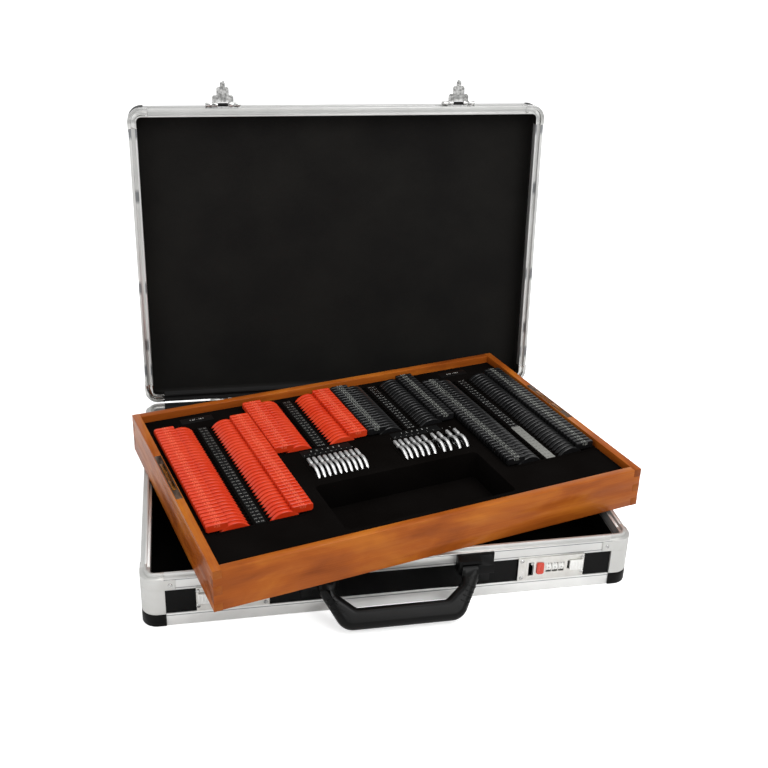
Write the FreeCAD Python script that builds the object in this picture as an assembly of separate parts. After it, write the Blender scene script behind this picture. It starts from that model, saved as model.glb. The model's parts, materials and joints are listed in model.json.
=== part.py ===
import FreeCAD, Part

import math
import os

V = FreeCAD.Vector
X_AXIS, Y_AXIS, Z_AXIS = V(1, 0, 0), V(0, 1, 0), V(0, 0, 1)

# Frame: origin under the middle of the base, X to the right, Y to the back, Z up, millimetres.
# Inset n of a wall is counted from the outer face of the case towards its inside.

# Case, driving sizes
CASE_W = 530.0
CASE_D = 388.0
BASE_H = 58.0
LID_H = 30.0
LID_GAP = 0.3
OPEN_ANGLE = 93.4
CORNER_R = 16.0
CORNER_SPAN = 24.0

# Walls
PANEL_T = 4.0
PANEL_INSET = 1.6
BOARD_T = 3.0
LINING_T = 1.5
FLOOR_Z = 1.6

# Rails
RAIL_T = 1.4
UPPER_RAIL_H = 14.0
LOWER_RAIL_H = 15.0
RIM_W = 10.0
TONGUE_IN = 4.0
TONGUE_T = 3.0
TONGUE_H = 4.0
GROOVE_OUTER_GAP = 0.6
GROOVE_INNER_GAP = 1.0
GROOVE_TOP_GAP = 0.8
LID_RIM_H = 11.0
LID_EDGE_H = 13.0
RAIL_FOOT_W = 15.0

# Corner fittings
CAP_PROUD = 0.8
TAB_L = 11.0
FOOT_PROUD = 1.0
GUARD_SPAN = 18.0
GUARD_PROUD = 0.9

# Hinges of the lid
HINGE_OUT = 2.6
HINGE_X = 150.0
HINGE_L = 60.0
HINGE_R = 2.3
HINGE_PIN_R = 1.2
PIN_GAP = 0.05
LEAF_T = 1.2
LEAF_H = 18.0
LEAF_CLEAR = 0.4
KNUCKLES = 5
KNUCKLE_GAP = 0.25

# Handle
HANDLE_ANGLE = 42.0
ARM_X = 76.5
ARM_W = 17.0
GRIP_HALF = 63.0
GRIP_IN = 28.0
GRIP_OUT = 50.0
GRIP_T = 17.0
GRIP_ROUND = 7.0
ELBOW_R = 19.0
PIVOT_OUT = 11.0
PIVOT_Z = BASE_H - 14.0
HANDLE_PIN_R = 2.0
EYE_R = 7.0
BRACKET_T = 3.0
BRACKET_X1 = 106.0
BRACKET_TOP = BASE_H - 0.4
BRACKET_FOOT_Z = LOWER_RAIL_H + 7.0
CHEEK_GAP = 0.4
CHEEK_T = 3.0

# Locks, given for the right one; the left one is its mirror image
LOCK_X0, LOCK_X1 = 134.8, 209.8
LOCK_Z0, LOCK_Z1 = LOWER_RAIL_H + 1.2, BASE_H - UPPER_RAIL_H + 0.8
LOCK_MID = (LOCK_Z0 + LOCK_Z1) / 2
LOCK_SEAM = 8.2
LOCK_PLATE_T = 1.5
LOCK_BODY_D = 13.0
LOCK_WALL = 1.0
SLOT_X = 149.4
SLOT_W = 5.8
SLOT_Z0, SLOT_Z1 = LOCK_MID - 8.5, LOCK_MID + 8.5
BUTTON_X = 160.0
BUTTON_W = 8.2
BUTTON_H = 14.4
BUTTON_ROUND = 2.6
BUTTON_PROUD = 1.3
BUTTON_TRAVEL = 1.2
DIAL_X = 169.6
DIAL_PITCH = 7.2
DIAL_COUNT = 3
DIAL_W = 5.6
DIAL_R = 6.6
DIAL_Z = LOCK_MID + 0.2
DIAL_IN = 4.6
SHAFT_R = 1.5
KNOB_X0, KNOB_X1 = 193.2, 208.0
KNOB_Z0, KNOB_Z1 = LOCK_Z0 + 9.8, LOCK_Z1 - 6.6
KNOB_PROUD = 2.2
SLIDE_TRAVEL = 3.0
PART_GAP = 0.3

# Hasps on the lid, drawn as they hang when the lid is shut and the hasp is down
HASP_OUT = 4.2
HASP_Z = BASE_H + 3.0
HASP_R = 2.6
HASP_PIN_R = 1.1
HASP_W = 26.0
HASP_LEAF_L = 11.5
HASP_NECK_W = 15.0
HASP_NECK_L = 21.5
HASP_TONGUE_W = 6.0
HASP_TONGUE_L = 27.0
HASP_STEP = 2.0
HASP_T = 1.5
HASP_WINDOW_W = 13.0
HASP_SPRING_R = 2.1
HASP_BRACKET_W = 43.0
HASP_BRACKET_H = 9.0
STAPLE_T = 2.0
STAPLE_X = -1.0
STAPLE_Z0, STAPLE_Z1 = LOCK_MID + 1.5, LOCK_MID + 8.1
STAPLE_IN = 5.0
STAPLE_EYE = 4.0

# Tray
TRAY_W = 502.0
TRAY_D = 340.0
TRAY_H = 47.0
TRAY_X = 8.2
TRAY_Y = -31.6
TRAY_YAW = 14.3
BOARD_W = 9.0
TRAY_BOTTOM_T = 4.0
FINGERS = 5
FOAM_TOP = 38.0
FIT_GAP = 0.3

# Lenses
LENS_R = 19.0
RIM_HOLE_R = 11.5
RIM_T = 4.5
GLASS_T = 1.6
FLAG_X0 = 7.5
FLAG_X1 = 0.0618 * TRAY_W
FLAG_Z0 = 13.6
FLAG_Z1 = 22.6
FLAG_T = 4.3
LENS_SINK = 12.3
PITCH = 6.5
LONG_COUNT = 34
HALF_COUNT = 19
LONG_FRONT = -94.0
HALF_FRONT = 30.5
SLOT_GAP = 0.3
SLOT_SIDE_GAP = 0.4
RACK_END = 6.0
METAL_T = 3.5
METAL_HOLE_R = 16.6
METAL_GLASS_T = 2.0
METAL_SINK = 14.0
METAL_Y = -18.2
METAL_TAB_Y0, METAL_TAB_Y1 = METAL_Y + 9.0, METAL_Y + 21.0
METAL_TAB_Z0, METAL_TAB_Z1 = 14.6, 18.0

# Recess for the trial frame
RECESS_X0, RECESS_X1 = -0.201 * TRAY_W, 0.205 * TRAY_W
RECESS_Y0, RECESS_Y1 = -0.42 * TRAY_D, -0.15 * TRAY_D
RECESS_R = 6.0

# Lift bails let into the side boards of the tray
BAIL_Y = 14.0
BAIL_PLATE_L = 96.0
BAIL_PLATE_W = 7.4
BAIL_PLATE_T = 1.0
BAIL_L = 58.0
BAIL_W = 4.2
BAIL_H = 4.0
BAIL_LEG_R = 1.2
BAIL_LEG_L = 24.0
BAIL_TRAVEL = 18.0
BAIL_GAP = 0.4

# Columns of lenses: name, disc centre as a share of the tray's width, side of the flag, number, front lens's y
COLUMNS = [
    ("red_long", -0.4084, -1, LONG_COUNT, LONG_FRONT),
    ("red_long", -0.2998, 1, LONG_COUNT, LONG_FRONT),
    ("red_half", -0.1743, -1, HALF_COUNT, HALF_FRONT),
    ("red_half", -0.0647, 1, HALF_COUNT, HALF_FRONT),
    ("black_half", 0.0608, -1, HALF_COUNT, HALF_FRONT),
    ("black_half", 0.1713, 1, HALF_COUNT, HALF_FRONT),
    ("black_long", 0.2988, -1, LONG_COUNT, LONG_FRONT),
    ("black_long", 0.4114, 1, LONG_COUNT, LONG_FRONT),
]

# Rows of metal-rim lenses: name, places as shares of the tray's width, how far each glass swells past its rim
METAL_ROWS = [
    ("cylinder_row", [-0.1739 + 0.01315 * i for i in range(10)], [0.0] * 10),
    (
        "prism_row",
        [0.0448, 0.0574, 0.0723, 0.0873, 0.1022, 0.1183, 0.1432, 0.1606, 0.1843, 0.2052],
        [0.0, 0.3, 0.6, 0.9, 1.2, 1.6, 2.4, 2.6, 3.4, 3.8],
    ),
]

# Printed number cards on the foam: centre and width as shares of the tray's width, y from, y to
CARDS = [
    (-0.3541, 0.0219, -97.0, 124.0),
    (-0.1195, 0.0219, 28.0, 151.0),
    (0.1161, 0.0219, 28.0, 151.0),
    (0.3551, 0.0219, -15.0, 124.0),
    (0.3551, 0.0239, -97.0, -17.0),
    (-0.1175, 0.1235, 10.5, 24.5),
    (0.1155, 0.1275, 10.5, 24.5),
    (-0.3541, 0.0797, 139.0, 152.0),
    (0.3551, 0.0797, 139.0, 152.0),
]
CARD_T = 0.4

# Worked-out sizes
HALF_W, HALF_D = CASE_W / 2, CASE_D / 2
TONGUE_TOP = BASE_H + TONGUE_H
LID_Z = BASE_H + LID_GAP
LID_TOP = LID_Z + LID_H
HINGE_Y, HINGE_Z = HALF_D + HINGE_OUT, BASE_H
GROOVE_OUT = TONGUE_IN - GROOVE_OUTER_GAP
GROOVE_IN = TONGUE_IN + TONGUE_T + GROOVE_INNER_GAP
GROOVE_TOP = LID_Z + TONGUE_H + GROOVE_TOP_GAP


def box(x0, y0, z0, x1, y1, z1):
    return Part.makeBox(x1 - x0, y1 - y0, z1 - z0, V(x0, y0, z0))


def rod_x(x0, x1, y, z, r):
    return Part.makeCylinder(r, x1 - x0, V(x0, y, z), X_AXIS)


def rod_y(y0, y1, x, z, r):
    return Part.makeCylinder(r, y1 - y0, V(x, y0, z), Y_AXIS)


def rod_z(z0, z1, x, y, r):
    return Part.makeCylinder(r, z1 - z0, V(x, y, z0), Z_AXIS)


def face_of(points):
    return Part.Face(Part.makePolygon(points + points[:1]))


def rounded_face(points, radii):
    """A flat face of any outline, each corner rounded by its own radius."""
    edges = []
    count = len(points)
    starts, ends = [], []
    for i, corner in enumerate(points):
        to_last = (points[i - 1] - corner).normalize()
        to_next = (points[(i + 1) % count] - corner).normalize()
        half_angle = to_last.getAngle(to_next) / 2
        reach = radii[i] / math.tan(half_angle)
        starts.append(corner + to_last * reach)
        ends.append(corner + to_next * reach)
        if radii[i] > 0:
            middle = (to_last + to_next).normalize()
            away = radii[i] / math.sin(half_angle) - radii[i]
            edges.append(Part.Arc(starts[i], corner + middle * away, ends[i]).toShape())
    for i in range(count):
        edges.append(Part.LineSegment(ends[i], starts[(i + 1) % count]).toShape())
    return Part.Face(Part.Wire(Part.__sortEdges__(edges)))


def rounded_plate(x0, y0, x1, y1, z0, z1, r):
    """A plate with four rounded corners."""
    q = math.sqrt(0.5) * r
    edges = [
        Part.LineSegment(V(x0 + r, y0, z0), V(x1 - r, y0, z0)),
        Part.Arc(V(x1 - r, y0, z0), V(x1 - r + q, y0 + r - q, z0), V(x1, y0 + r, z0)),
        Part.LineSegment(V(x1, y0 + r, z0), V(x1, y1 - r, z0)),
        Part.Arc(V(x1, y1 - r, z0), V(x1 - r + q, y1 - r + q, z0), V(x1 - r, y1, z0)),
        Part.LineSegment(V(x1 - r, y1, z0), V(x0 + r, y1, z0)),
        Part.Arc(V(x0 + r, y1, z0), V(x0 + r - q, y1 - r + q, z0), V(x0, y1 - r, z0)),
        Part.LineSegment(V(x0, y1 - r, z0), V(x0, y0 + r, z0)),
        Part.Arc(V(x0, y0 + r, z0), V(x0 + r - q, y0 + r - q, z0), V(x0 + r, y0, z0)),
    ]
    wire = Part.Wire([e.toShape() for e in edges])
    return Part.Face(wire).extrude(V(0, 0, z1 - z0))


def case_plate(inset, z0, z1):
    """A plate of the case's plan, drawn in by inset all round."""
    r = max(CORNER_R - inset, 1.0)
    return rounded_plate(-HALF_W + inset, -HALF_D + inset, HALF_W - inset, HALF_D - inset, z0, z1, r)


def case_ring(inset, thick, z0, z1):
    """An upright wall of the case's plan, thick inwards from inset."""
    return case_plate(inset, z0, z1).cut(case_plate(inset + thick, z0 - 1, z1 + 1))


def turned(shape, point, axis, angle):
    out = shape.copy()
    out.rotate(point, axis, angle)
    return out


def moved(shape, x=0.0, y=0.0, z=0.0):
    out = shape.copy()
    out.translate(V(x, y, z))
    return out


def mirror_x(shape):
    return shape.mirror(V(0, 0, 0), X_AXIS)


def mirror_y(shape):
    return shape.mirror(V(0, 0, 0), Y_AXIS)


def both_sides(shape):
    """A piece on the right and its mirror image on the left."""
    return [shape, mirror_x(shape)]


def four_corners(shape):
    """A piece at the front right corner, and its mirror images at the other three."""
    right = [shape, mirror_y(shape)]
    return right + [mirror_x(s) for s in right]


def fuse(shapes):
    first = shapes[0]
    rest = shapes[1:]
    return first.fuse(rest).removeSplitter() if rest else first


def group(shapes):
    """Separate solids that share one node."""
    solids = []
    for s in shapes:
        solids += s.Solids
    return Part.makeCompound(solids)


def rail_runs(profile, span):
    """A profile of (n, z) points run along the four sides, between corner pieces of the given span."""
    run_w, run_d = CASE_W - 2 * span, CASE_D - 2 * span
    pieces = []
    for run, half, angle in [(run_w, HALF_D, 0), (run_d, HALF_W, 90), (run_w, HALF_D, 180), (run_d, HALF_W, 270)]:
        section = face_of([V(-run / 2, n - half, z) for n, z in profile])
        pieces.append(turned(section.extrude(V(run, 0, 0)), V(0, 0, 0), Z_AXIS, angle))
    return pieces


def corner_bend(profile, span):
    """The same profile taken round the front right corner, with a straight leg on each side."""
    leg = span - CORNER_R
    cx, cy = HALF_W - CORNER_R, -HALF_D + CORNER_R
    front = face_of([V(cx, n - HALF_D, z) for n, z in profile])
    bend = front.revolve(V(cx, cy, 0), Z_AXIS, 90)
    side = face_of([V(HALF_W - n, cy, z) for n, z in profile])
    return fuse([bend, front.extrude(V(-leg, 0, 0)), side.extrude(V(0, leg, 0))])


def open_lid(shapes):
    """Turns what is drawn on the shut lid to where it stands when the lid is open."""
    return [turned(s, V(0, HINGE_Y, HINGE_Z), X_AXIS, -OPEN_ANGLE) for s in shapes]


def place_tray(shapes):
    """Takes what is drawn in the tray's own frame to where the tray lies askew on the rim."""
    return [moved(turned(s, V(0, 0, 0), Z_AXIS, TRAY_YAW), TRAY_X, TRAY_Y, TONGUE_TOP) for s in shapes]


def save(node, shapes):
    group(shapes).exportStep("parts/" + node + ".step")


# Base of the case


def base_rim_profile(top):
    """Upper rail of the base: a hook over the panel's edge, with the tongue that seals the lid."""
    low = BASE_H - UPPER_RAIL_H
    panel_in = PANEL_INSET + PANEL_T
    return [
        (0, low), (0, top), (TONGUE_IN, top), (TONGUE_IN, TONGUE_TOP),
        (TONGUE_IN + TONGUE_T, TONGUE_TOP), (TONGUE_IN + TONGUE_T, top), (RIM_W, top),
        (RIM_W, low), (panel_in, low), (panel_in, top - RAIL_T), (PANEL_INSET, top - RAIL_T), (PANEL_INSET, low),
    ]


def base_upper_rails():
    return rail_runs(base_rim_profile(BASE_H), CORNER_SPAN)


def base_lower_rails():
    profile = [
        (0, 0), (0, LOWER_RAIL_H), (PANEL_INSET, LOWER_RAIL_H),
        (PANEL_INSET, FLOOR_Z), (RAIL_FOOT_W, FLOOR_Z), (RAIL_FOOT_W, 0),
    ]
    return rail_runs(profile, CORNER_SPAN)


def base_side_panels():
    top = BASE_H - RAIL_T
    ring = case_ring(PANEL_INSET, PANEL_T, FLOOR_Z + BOARD_T, top)
    for hole in both_sides(lock_hole()):
        ring = ring.cut(hole)
    return [ring]


def base_bottom_panel():
    """Floor board: its middle comes down between the rails' feet, level with their underside."""
    board = case_plate(PANEL_INSET, FLOOR_Z, FLOOR_Z + BOARD_T)
    middle = case_plate(RAIL_FOOT_W + FIT_GAP, 0, FLOOR_Z + BOARD_T)
    return [board.fuse(middle)]


def base_lining():
    """Cloth lining over the floor and up the walls to the upper rail."""
    floor = FLOOR_Z + BOARD_T
    top = BASE_H - UPPER_RAIL_H
    wall_in = PANEL_INSET + PANEL_T
    shell = case_plate(wall_in, floor, top).cut(case_plate(wall_in + LINING_T, floor + LINING_T, top + 1))
    for hole in both_sides(lock_hole()):
        shell = shell.cut(hole)
    return [shell]


def corner_fittings():
    """Pressed corner of the upper rail, with a screwed tab on each side."""
    bend = corner_bend([(n if n > 0 else -CAP_PROUD, z) for n, z in base_rim_profile(BASE_H)], CORNER_SPAN)
    low = BASE_H - UPPER_RAIL_H
    x1 = HALF_W - CORNER_SPAN
    tab = box(x1 - TAB_L, -HALF_D - CAP_PROUD, low + 0.6, x1, -HALF_D, BASE_H - 1.2)
    y1 = -HALF_D + CORNER_SPAN
    side = box(HALF_W, y1, low + 0.6, HALF_W + CAP_PROUD, y1 + TAB_L, BASE_H - 1.2)
    front_hole = rod_y(-HALF_D - 2, -HALF_D + 1, x1 - TAB_L / 2, screw_z(), SCREW_HOLE_R)
    side_hole = rod_x(HALF_W - 1, HALF_W + 2, y1 + TAB_L / 2, screw_z(), SCREW_HOLE_R)
    return four_corners(fuse([bend, tab, side]).cut(front_hole).cut(side_hole))


def corner_posts():
    """Rounded upright between the corner fitting and the foot, over the panels."""
    low, high = LOWER_RAIL_H, BASE_H - UPPER_RAIL_H
    profile = [(-CAP_PROUD, low), (-CAP_PROUD, high), (PANEL_INSET, high), (PANEL_INSET, low)]
    return four_corners(corner_bend(profile, CORNER_SPAN))


def corner_feet():
    """Moulded foot round the bottom corner, standing on the same level as the rails."""
    over, under = LOWER_RAIL_H, FLOOR_Z
    inner = CORNER_R - 1.0
    profile = [
        (-FOOT_PROUD, 0), (-FOOT_PROUD, over), (PANEL_INSET, over),
        (PANEL_INSET, under), (inner, under), (inner, 0),
    ]
    return four_corners(corner_bend(profile, CORNER_SPAN))


SCREW_HOLE_R = 1.3
SCREW_HEAD_R = 2.4
SCREW_HEAD_T = 0.7
SCREW_L = 1.0


def screw_z():
    return BASE_H - UPPER_RAIL_H / 2 - 0.6


def screw_front(x, z, out):
    """A pan-head screw whose head lies on a face that stands out from the front by out."""
    y = -HALF_D - out
    head = Part.makeCone(SCREW_HEAD_R - 0.6, SCREW_HEAD_R, SCREW_HEAD_T, V(x, y - SCREW_HEAD_T, z), Y_AXIS)
    slot = box(x - 1.5, y - SCREW_HEAD_T - 1, z - 0.3, x + 1.5, y - SCREW_HEAD_T + 0.35, z + 0.3)
    cross = box(x - 0.3, y - SCREW_HEAD_T - 1, z - 1.5, x + 0.3, y - SCREW_HEAD_T + 0.35, z + 1.5)
    shank = rod_y(y, y + min(out, SCREW_L), x, z, SCREW_HOLE_R - PIN_GAP)
    return head.fuse(shank).cut(slot).cut(cross)


def screw_side(y, z, out):
    """The same screw on the right side of the case."""
    at_front = screw_front(0, z, out)
    at_front.translate(V(0, HALF_D, 0))
    side = turned(at_front, V(0, 0, 0), Z_AXIS, 90)
    return moved(side, HALF_W, y, 0)


def case_screws():
    x = HALF_W - CORNER_SPAN - TAB_L / 2
    y = -HALF_D + CORNER_SPAN + TAB_L / 2
    screws = four_corners(screw_front(x, screw_z(), CAP_PROUD))
    screws += four_corners(screw_side(y, screw_z(), CAP_PROUD))
    for x, z in lock_screw_places():
        screws += both_sides(screw_front(x, z, LOCK_PLATE_T))
    return screws


# Hinges of the lid


def knuckle_spans():
    """Start and end of each knuckle along the hinge, from one end of it to the other."""
    step = HINGE_L / KNUCKLES
    start = HINGE_X - HINGE_L / 2
    return [(start + i * step + KNUCKLE_GAP / 2, start + (i + 1) * step - KNUCKLE_GAP / 2) for i in range(KNUCKLES)]


def hinge_leaf(first, up):
    """One leaf: a plate on the back face and every second knuckle round the pin, up is 1 or -1."""
    x0, x1 = HINGE_X - HINGE_L / 2, HINGE_X + HINGE_L / 2
    near = HINGE_R + LEAF_CLEAR
    zs = sorted([HINGE_Z + up * near, HINGE_Z + up * LEAF_H])
    pieces = [box(x0, HALF_D, zs[0], x1, HALF_D + LEAF_T, zs[1])]
    for a, b in knuckle_spans()[first::2]:
        pieces.append(rod_x(a, b, HINGE_Y, HINGE_Z, HINGE_R))
        web = sorted([HINGE_Z, HINGE_Z + up * near])
        pieces.append(box(a, HALF_D + PART_GAP, web[0], b, HALF_D + LEAF_T + PART_GAP, web[1]))
        lap = sorted([HINGE_Z + up * near, HINGE_Z + up * (near + 1.5)])
        pieces.append(box(a, HALF_D, lap[0], b, HALF_D + LEAF_T + PART_GAP, lap[1]))
    leaf = fuse(pieces)
    return leaf.cut(rod_x(x0 - 1, x1 + 1, HINGE_Y, HINGE_Z, HINGE_PIN_R + PIN_GAP))


def hinge_base_leaves():
    return both_sides(hinge_leaf(0, -1))


def hinge_lid_leaves():
    return open_lid(both_sides(hinge_leaf(1, 1)))


def hinge_pins():
    x0, x1 = HINGE_X - HINGE_L / 2, HINGE_X + HINGE_L / 2
    shank = rod_x(x0, x1, HINGE_Y, HINGE_Z, HINGE_PIN_R)
    heads = [rod_x(a, a + 0.8, HINGE_Y, HINGE_Z, HINGE_R * 0.8) for a in (x0 - 0.8, x1)]
    return both_sides(fuse([shank] + heads))


# Lid, drawn shut


def lid_rim_profile():
    """Rim rail of the lid, with the groove that takes the base's tongue."""
    top = LID_Z + LID_RIM_H
    panel_in = PANEL_INSET + PANEL_T
    web = GROOVE_TOP + RAIL_T
    return [
        (0, LID_Z), (GROOVE_OUT, LID_Z), (GROOVE_OUT, GROOVE_TOP), (GROOVE_IN, GROOVE_TOP),
        (GROOVE_IN, LID_Z), (RIM_W, LID_Z), (RIM_W, top), (panel_in, top),
        (panel_in, web), (PANEL_INSET, web), (PANEL_INSET, top), (0, top),
    ]


def lid_edge_profile():
    """Angle rail over the outer edge of the lid's top board."""
    low = LID_TOP - LID_EDGE_H
    board = LID_TOP - FLOOR_Z
    return [
        (0, low), (PANEL_INSET, low), (PANEL_INSET, board),
        (RAIL_FOOT_W, board), (RAIL_FOOT_W, LID_TOP), (0, LID_TOP),
    ]


def lid_rim_rails():
    return open_lid(rail_runs(lid_rim_profile(), CORNER_SPAN))


def lid_edge_rails():
    return open_lid(rail_runs(lid_edge_profile(), GUARD_SPAN))


def lid_side_panels():
    low = GROOVE_TOP + RAIL_T
    high = LID_TOP - FLOOR_Z - BOARD_T
    return open_lid([case_ring(PANEL_INSET, PANEL_T, low, high)])


def lid_top_panel():
    high = LID_TOP - FLOOR_Z
    return open_lid([case_plate(PANEL_INSET, high - BOARD_T, high)])


def lid_lining():
    """Padded cloth lining under the top board and down the walls to the rim rail."""
    high = LID_TOP - FLOOR_Z - BOARD_T
    wall_in = PANEL_INSET + PANEL_T
    low = LID_Z + LID_RIM_H
    hollow = case_plate(wall_in + LINING_T, low - 1, high - LINING_T)
    return open_lid([case_plate(wall_in, low, high).cut(hollow)])


def lid_corner_caps():
    """Plated cap round each corner of the lid's rim, a little proud of the rails."""
    profile = [(n if n > 0 else -CAP_PROUD, z) for n, z in lid_rim_profile()]
    return open_lid(four_corners(corner_bend(profile, CORNER_SPAN)))


def lid_corner_guards():
    """Moulded guard round each outer corner of the lid, between the edge rails."""
    low = LID_Z + LID_RIM_H
    board = LID_TOP - FLOOR_Z
    inner = CORNER_R - 1.0
    profile = [
        (-GUARD_PROUD, low), (PANEL_INSET, low), (PANEL_INSET, board),
        (inner, board), (inner, LID_TOP), (-GUARD_PROUD, LID_TOP),
    ]
    return open_lid(four_corners(corner_bend(profile, GUARD_SPAN)))


# Hasps, drawn shut


def hasp_axis():
    return -HALF_D - HASP_OUT, HASP_Z


def hasp_bracket():
    """Plate on the lid's front rail with a long knuckle at each end."""
    y, z = hasp_axis()
    half, inner = HASP_BRACKET_W / 2, HASP_W / 2 + KNUCKLE_GAP
    plate_z0 = LID_Z + 0.9
    plate = box(SLOT_X - half, -HALF_D - LEAF_T, plate_z0, SLOT_X + half, -HALF_D, plate_z0 + HASP_BRACKET_H)
    pieces = [plate]
    for a, b in ((SLOT_X - half, SLOT_X - inner), (SLOT_X + inner, SLOT_X + half)):
        pieces.append(rod_x(a, b, y, z, HASP_R))
        pieces.append(box(a, y, z, b, -HALF_D, z + HASP_R))
    return fuse(pieces).cut(rod_x(SLOT_X - half, SLOT_X + half, y, z, HASP_PIN_R))


def hasp_pin():
    y, z = hasp_axis()
    half = HASP_BRACKET_W / 2
    return rod_x(SLOT_X - half, SLOT_X + half, y, z, HASP_PIN_R)


def hasp_spring():
    """Closely wound spring on the pin, in the window between the flap's two knuckles."""
    y, z = hasp_axis()
    half = HASP_WINDOW_W / 2 - PART_GAP
    spring = rod_x(SLOT_X - half, SLOT_X + half, y, z, HASP_SPRING_R)
    return spring.cut(rod_x(SLOT_X - half - 1, SLOT_X + half + 1, y, z, HASP_PIN_R + PIN_GAP))


def hasp_flap():
    """The swinging flap: two knuckles, leaf, neck and tongue, and the staple that enters the lock."""
    y, z = hasp_axis()
    t0 = y - HASP_T / 2
    leaf, neck, tongue = HASP_W / 2, HASP_NECK_W / 2, HASP_TONGUE_W / 2
    half_outline = [
        (leaf, 0), (leaf, HASP_LEAF_L - HASP_STEP), (leaf - HASP_STEP, HASP_LEAF_L), (neck, HASP_LEAF_L),
        (neck, HASP_NECK_L - HASP_STEP), (neck - HASP_STEP, HASP_NECK_L), (tongue, HASP_NECK_L),
        (tongue, HASP_TONGUE_L - 1.0), (tongue - 1.0, HASP_TONGUE_L),
    ]
    outline = half_outline + [(-x, s) for x, s in reversed(half_outline)]
    plate = face_of([V(SLOT_X + x, t0, z - s) for x, s in outline]).extrude(V(0, HASP_T, 0))
    rib = box(SLOT_X - neck + 2.5, t0 - 0.5, z - HASP_NECK_L + 2.5, SLOT_X + neck - 2.5, t0 + 0.1, z - HASP_R - 2.5)
    barrel = rod_x(SLOT_X - leaf, SLOT_X + leaf, y, z, HASP_R)
    x0 = SLOT_X + STAPLE_X - STAPLE_T / 2
    staple = box(x0, y, STAPLE_Z0, x0 + STAPLE_T, -HALF_D + STAPLE_IN, STAPLE_Z1)
    mid = (STAPLE_Z0 + STAPLE_Z1) / 2
    eye_z0, eye_z1 = mid - STAPLE_EYE / 2, mid + STAPLE_EYE / 2
    eye = box(x0 - 1, -HALF_D - 0.9, eye_z0, x0 + STAPLE_T + 1, -HALF_D + STAPLE_IN - 1.5, eye_z1)
    window = HASP_WINDOW_W / 2
    body = fuse([barrel, plate, rib, staple]).cut(eye)
    clear = HASP_R + 1
    body = body.cut(box(SLOT_X - window, y - clear, z - HASP_R - 0.2, SLOT_X + window, y + clear, z + clear))
    return body.cut(rod_x(SLOT_X - leaf - 1, SLOT_X + leaf + 1, y, z, HASP_PIN_R + PIN_GAP))


def hasp_at_rest():
    """The flap stands straight out from the lid's front edge."""
    y, z = hasp_axis()
    return turned(hasp_flap(), V(0, y, z), X_AXIS, -90)


def hasp_brackets():
    return open_lid(both_sides(hasp_bracket()) + both_sides(hasp_pin()))


# Locks


def lock_hole():
    """Cut-out in the front panel and lining for the lock's body."""
    gap = PART_GAP
    x0, x1 = LOCK_X0 + 2 - gap, LOCK_X1 - 2 + gap
    return box(x0, -HALF_D - 1, LOCK_Z0 + 1 - gap, x1, -HALF_D + LOCK_BODY_D + gap, LOCK_Z1 - 1 + gap)


def lock_screw_places():
    z0, z1 = LOCK_Z0 + 3.6, LOCK_Z1 - 3.6
    return [(LOCK_X0 + 4.2, z0), (LOCK_X0 + 4.2, z1), (LOCK_X1 - 1.9, z0 + 2.4), (LOCK_X1 - 1.9, z1)]


def button_blank(grow, y0, y1):
    """A block of the button's outline, with rounded corners."""
    half_w, half_h = BUTTON_W / 2 + grow, BUTTON_H / 2 + grow
    corners = [(-half_w, -half_h), (half_w, -half_h), (half_w, half_h), (-half_w, half_h)]
    points = [V(BUTTON_X + x, y0, LOCK_MID + z) for x, z in corners]
    return rounded_face(points, [BUTTON_ROUND + grow] * 4).extrude(V(0, y1 - y0, 0))


def dial_places():
    return [DIAL_X + i * DIAL_PITCH for i in range(DIAL_COUNT)]


def lock_plate():
    """Cast front plate with the windows for hook, button, dials and thumb slide."""
    y0, y1 = -HALF_D - LOCK_PLATE_T, -HALF_D + PANEL_INSET - PART_GAP
    plate = box(LOCK_X0, y0, LOCK_Z0, LOCK_X1, -HALF_D, LOCK_Z1)
    seam = LOCK_X0 + LOCK_SEAM
    plate = plate.cut(box(seam, y0 - 1, LOCK_Z0 - 1, seam + 0.5, y0 + 0.4, LOCK_Z1 + 1))
    plate = plate.cut(box(SLOT_X - SLOT_W / 2, y0 - 1, SLOT_Z0, SLOT_X + SLOT_W / 2, y1 + 1, SLOT_Z1))
    plate = plate.cut(button_blank(PART_GAP, y0 - 1, y1 + 1))
    half = DIAL_W / 2 + PART_GAP
    tall = math.sqrt(DIAL_R ** 2 - DIAL_IN ** 2) + 1.2
    for x in dial_places():
        plate = plate.cut(box(x - half, y0 - 1, DIAL_Z - tall, x + half, y1 + 1, DIAL_Z + tall))
    slit = KNOB_X0 + 1 - SLIDE_TRAVEL - PART_GAP
    plate = plate.cut(box(slit, y0 - 1, KNOB_Z0 + 1, KNOB_X1 - 1, y1 + 1, KNOB_Z1 - 1))
    for x, z in lock_screw_places():
        plate = plate.cut(rod_y(y0 - 1, y1 + 1, x, z, SCREW_HOLE_R))
    return plate


def lock_body():
    """Open-fronted steel box behind the plate, with two ribs that carry the dial shaft."""
    y0 = -HALF_D
    outer = box(LOCK_X0 + 2, y0, LOCK_Z0 + 1, LOCK_X1 - 2, y0 + LOCK_BODY_D, LOCK_Z1 - 1)
    w = LOCK_WALL
    hollow = box(LOCK_X0 + 2 + w, y0 - 1, LOCK_Z0 + 1 + w, LOCK_X1 - 2 - w, y0 + LOCK_BODY_D - w, LOCK_Z1 - 1 - w)
    shell = outer.cut(hollow)
    ribs = []
    for x in rib_places():
        ribs.append(box(x - 0.5, y0 + 0.3, DIAL_Z - 3.0, x + 0.5, y0 + LOCK_BODY_D - w, DIAL_Z + 3.0))
    body = fuse([shell] + ribs)
    for x, z in lock_screw_places():
        body = body.cut(rod_y(y0 - 0.5, y0 + 0.01, x, z, SCREW_HOLE_R))
    return body.cut(rod_x(rib_places()[0] - 1, rib_places()[1] + 1, y0 + DIAL_IN, DIAL_Z, SHAFT_R))


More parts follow.
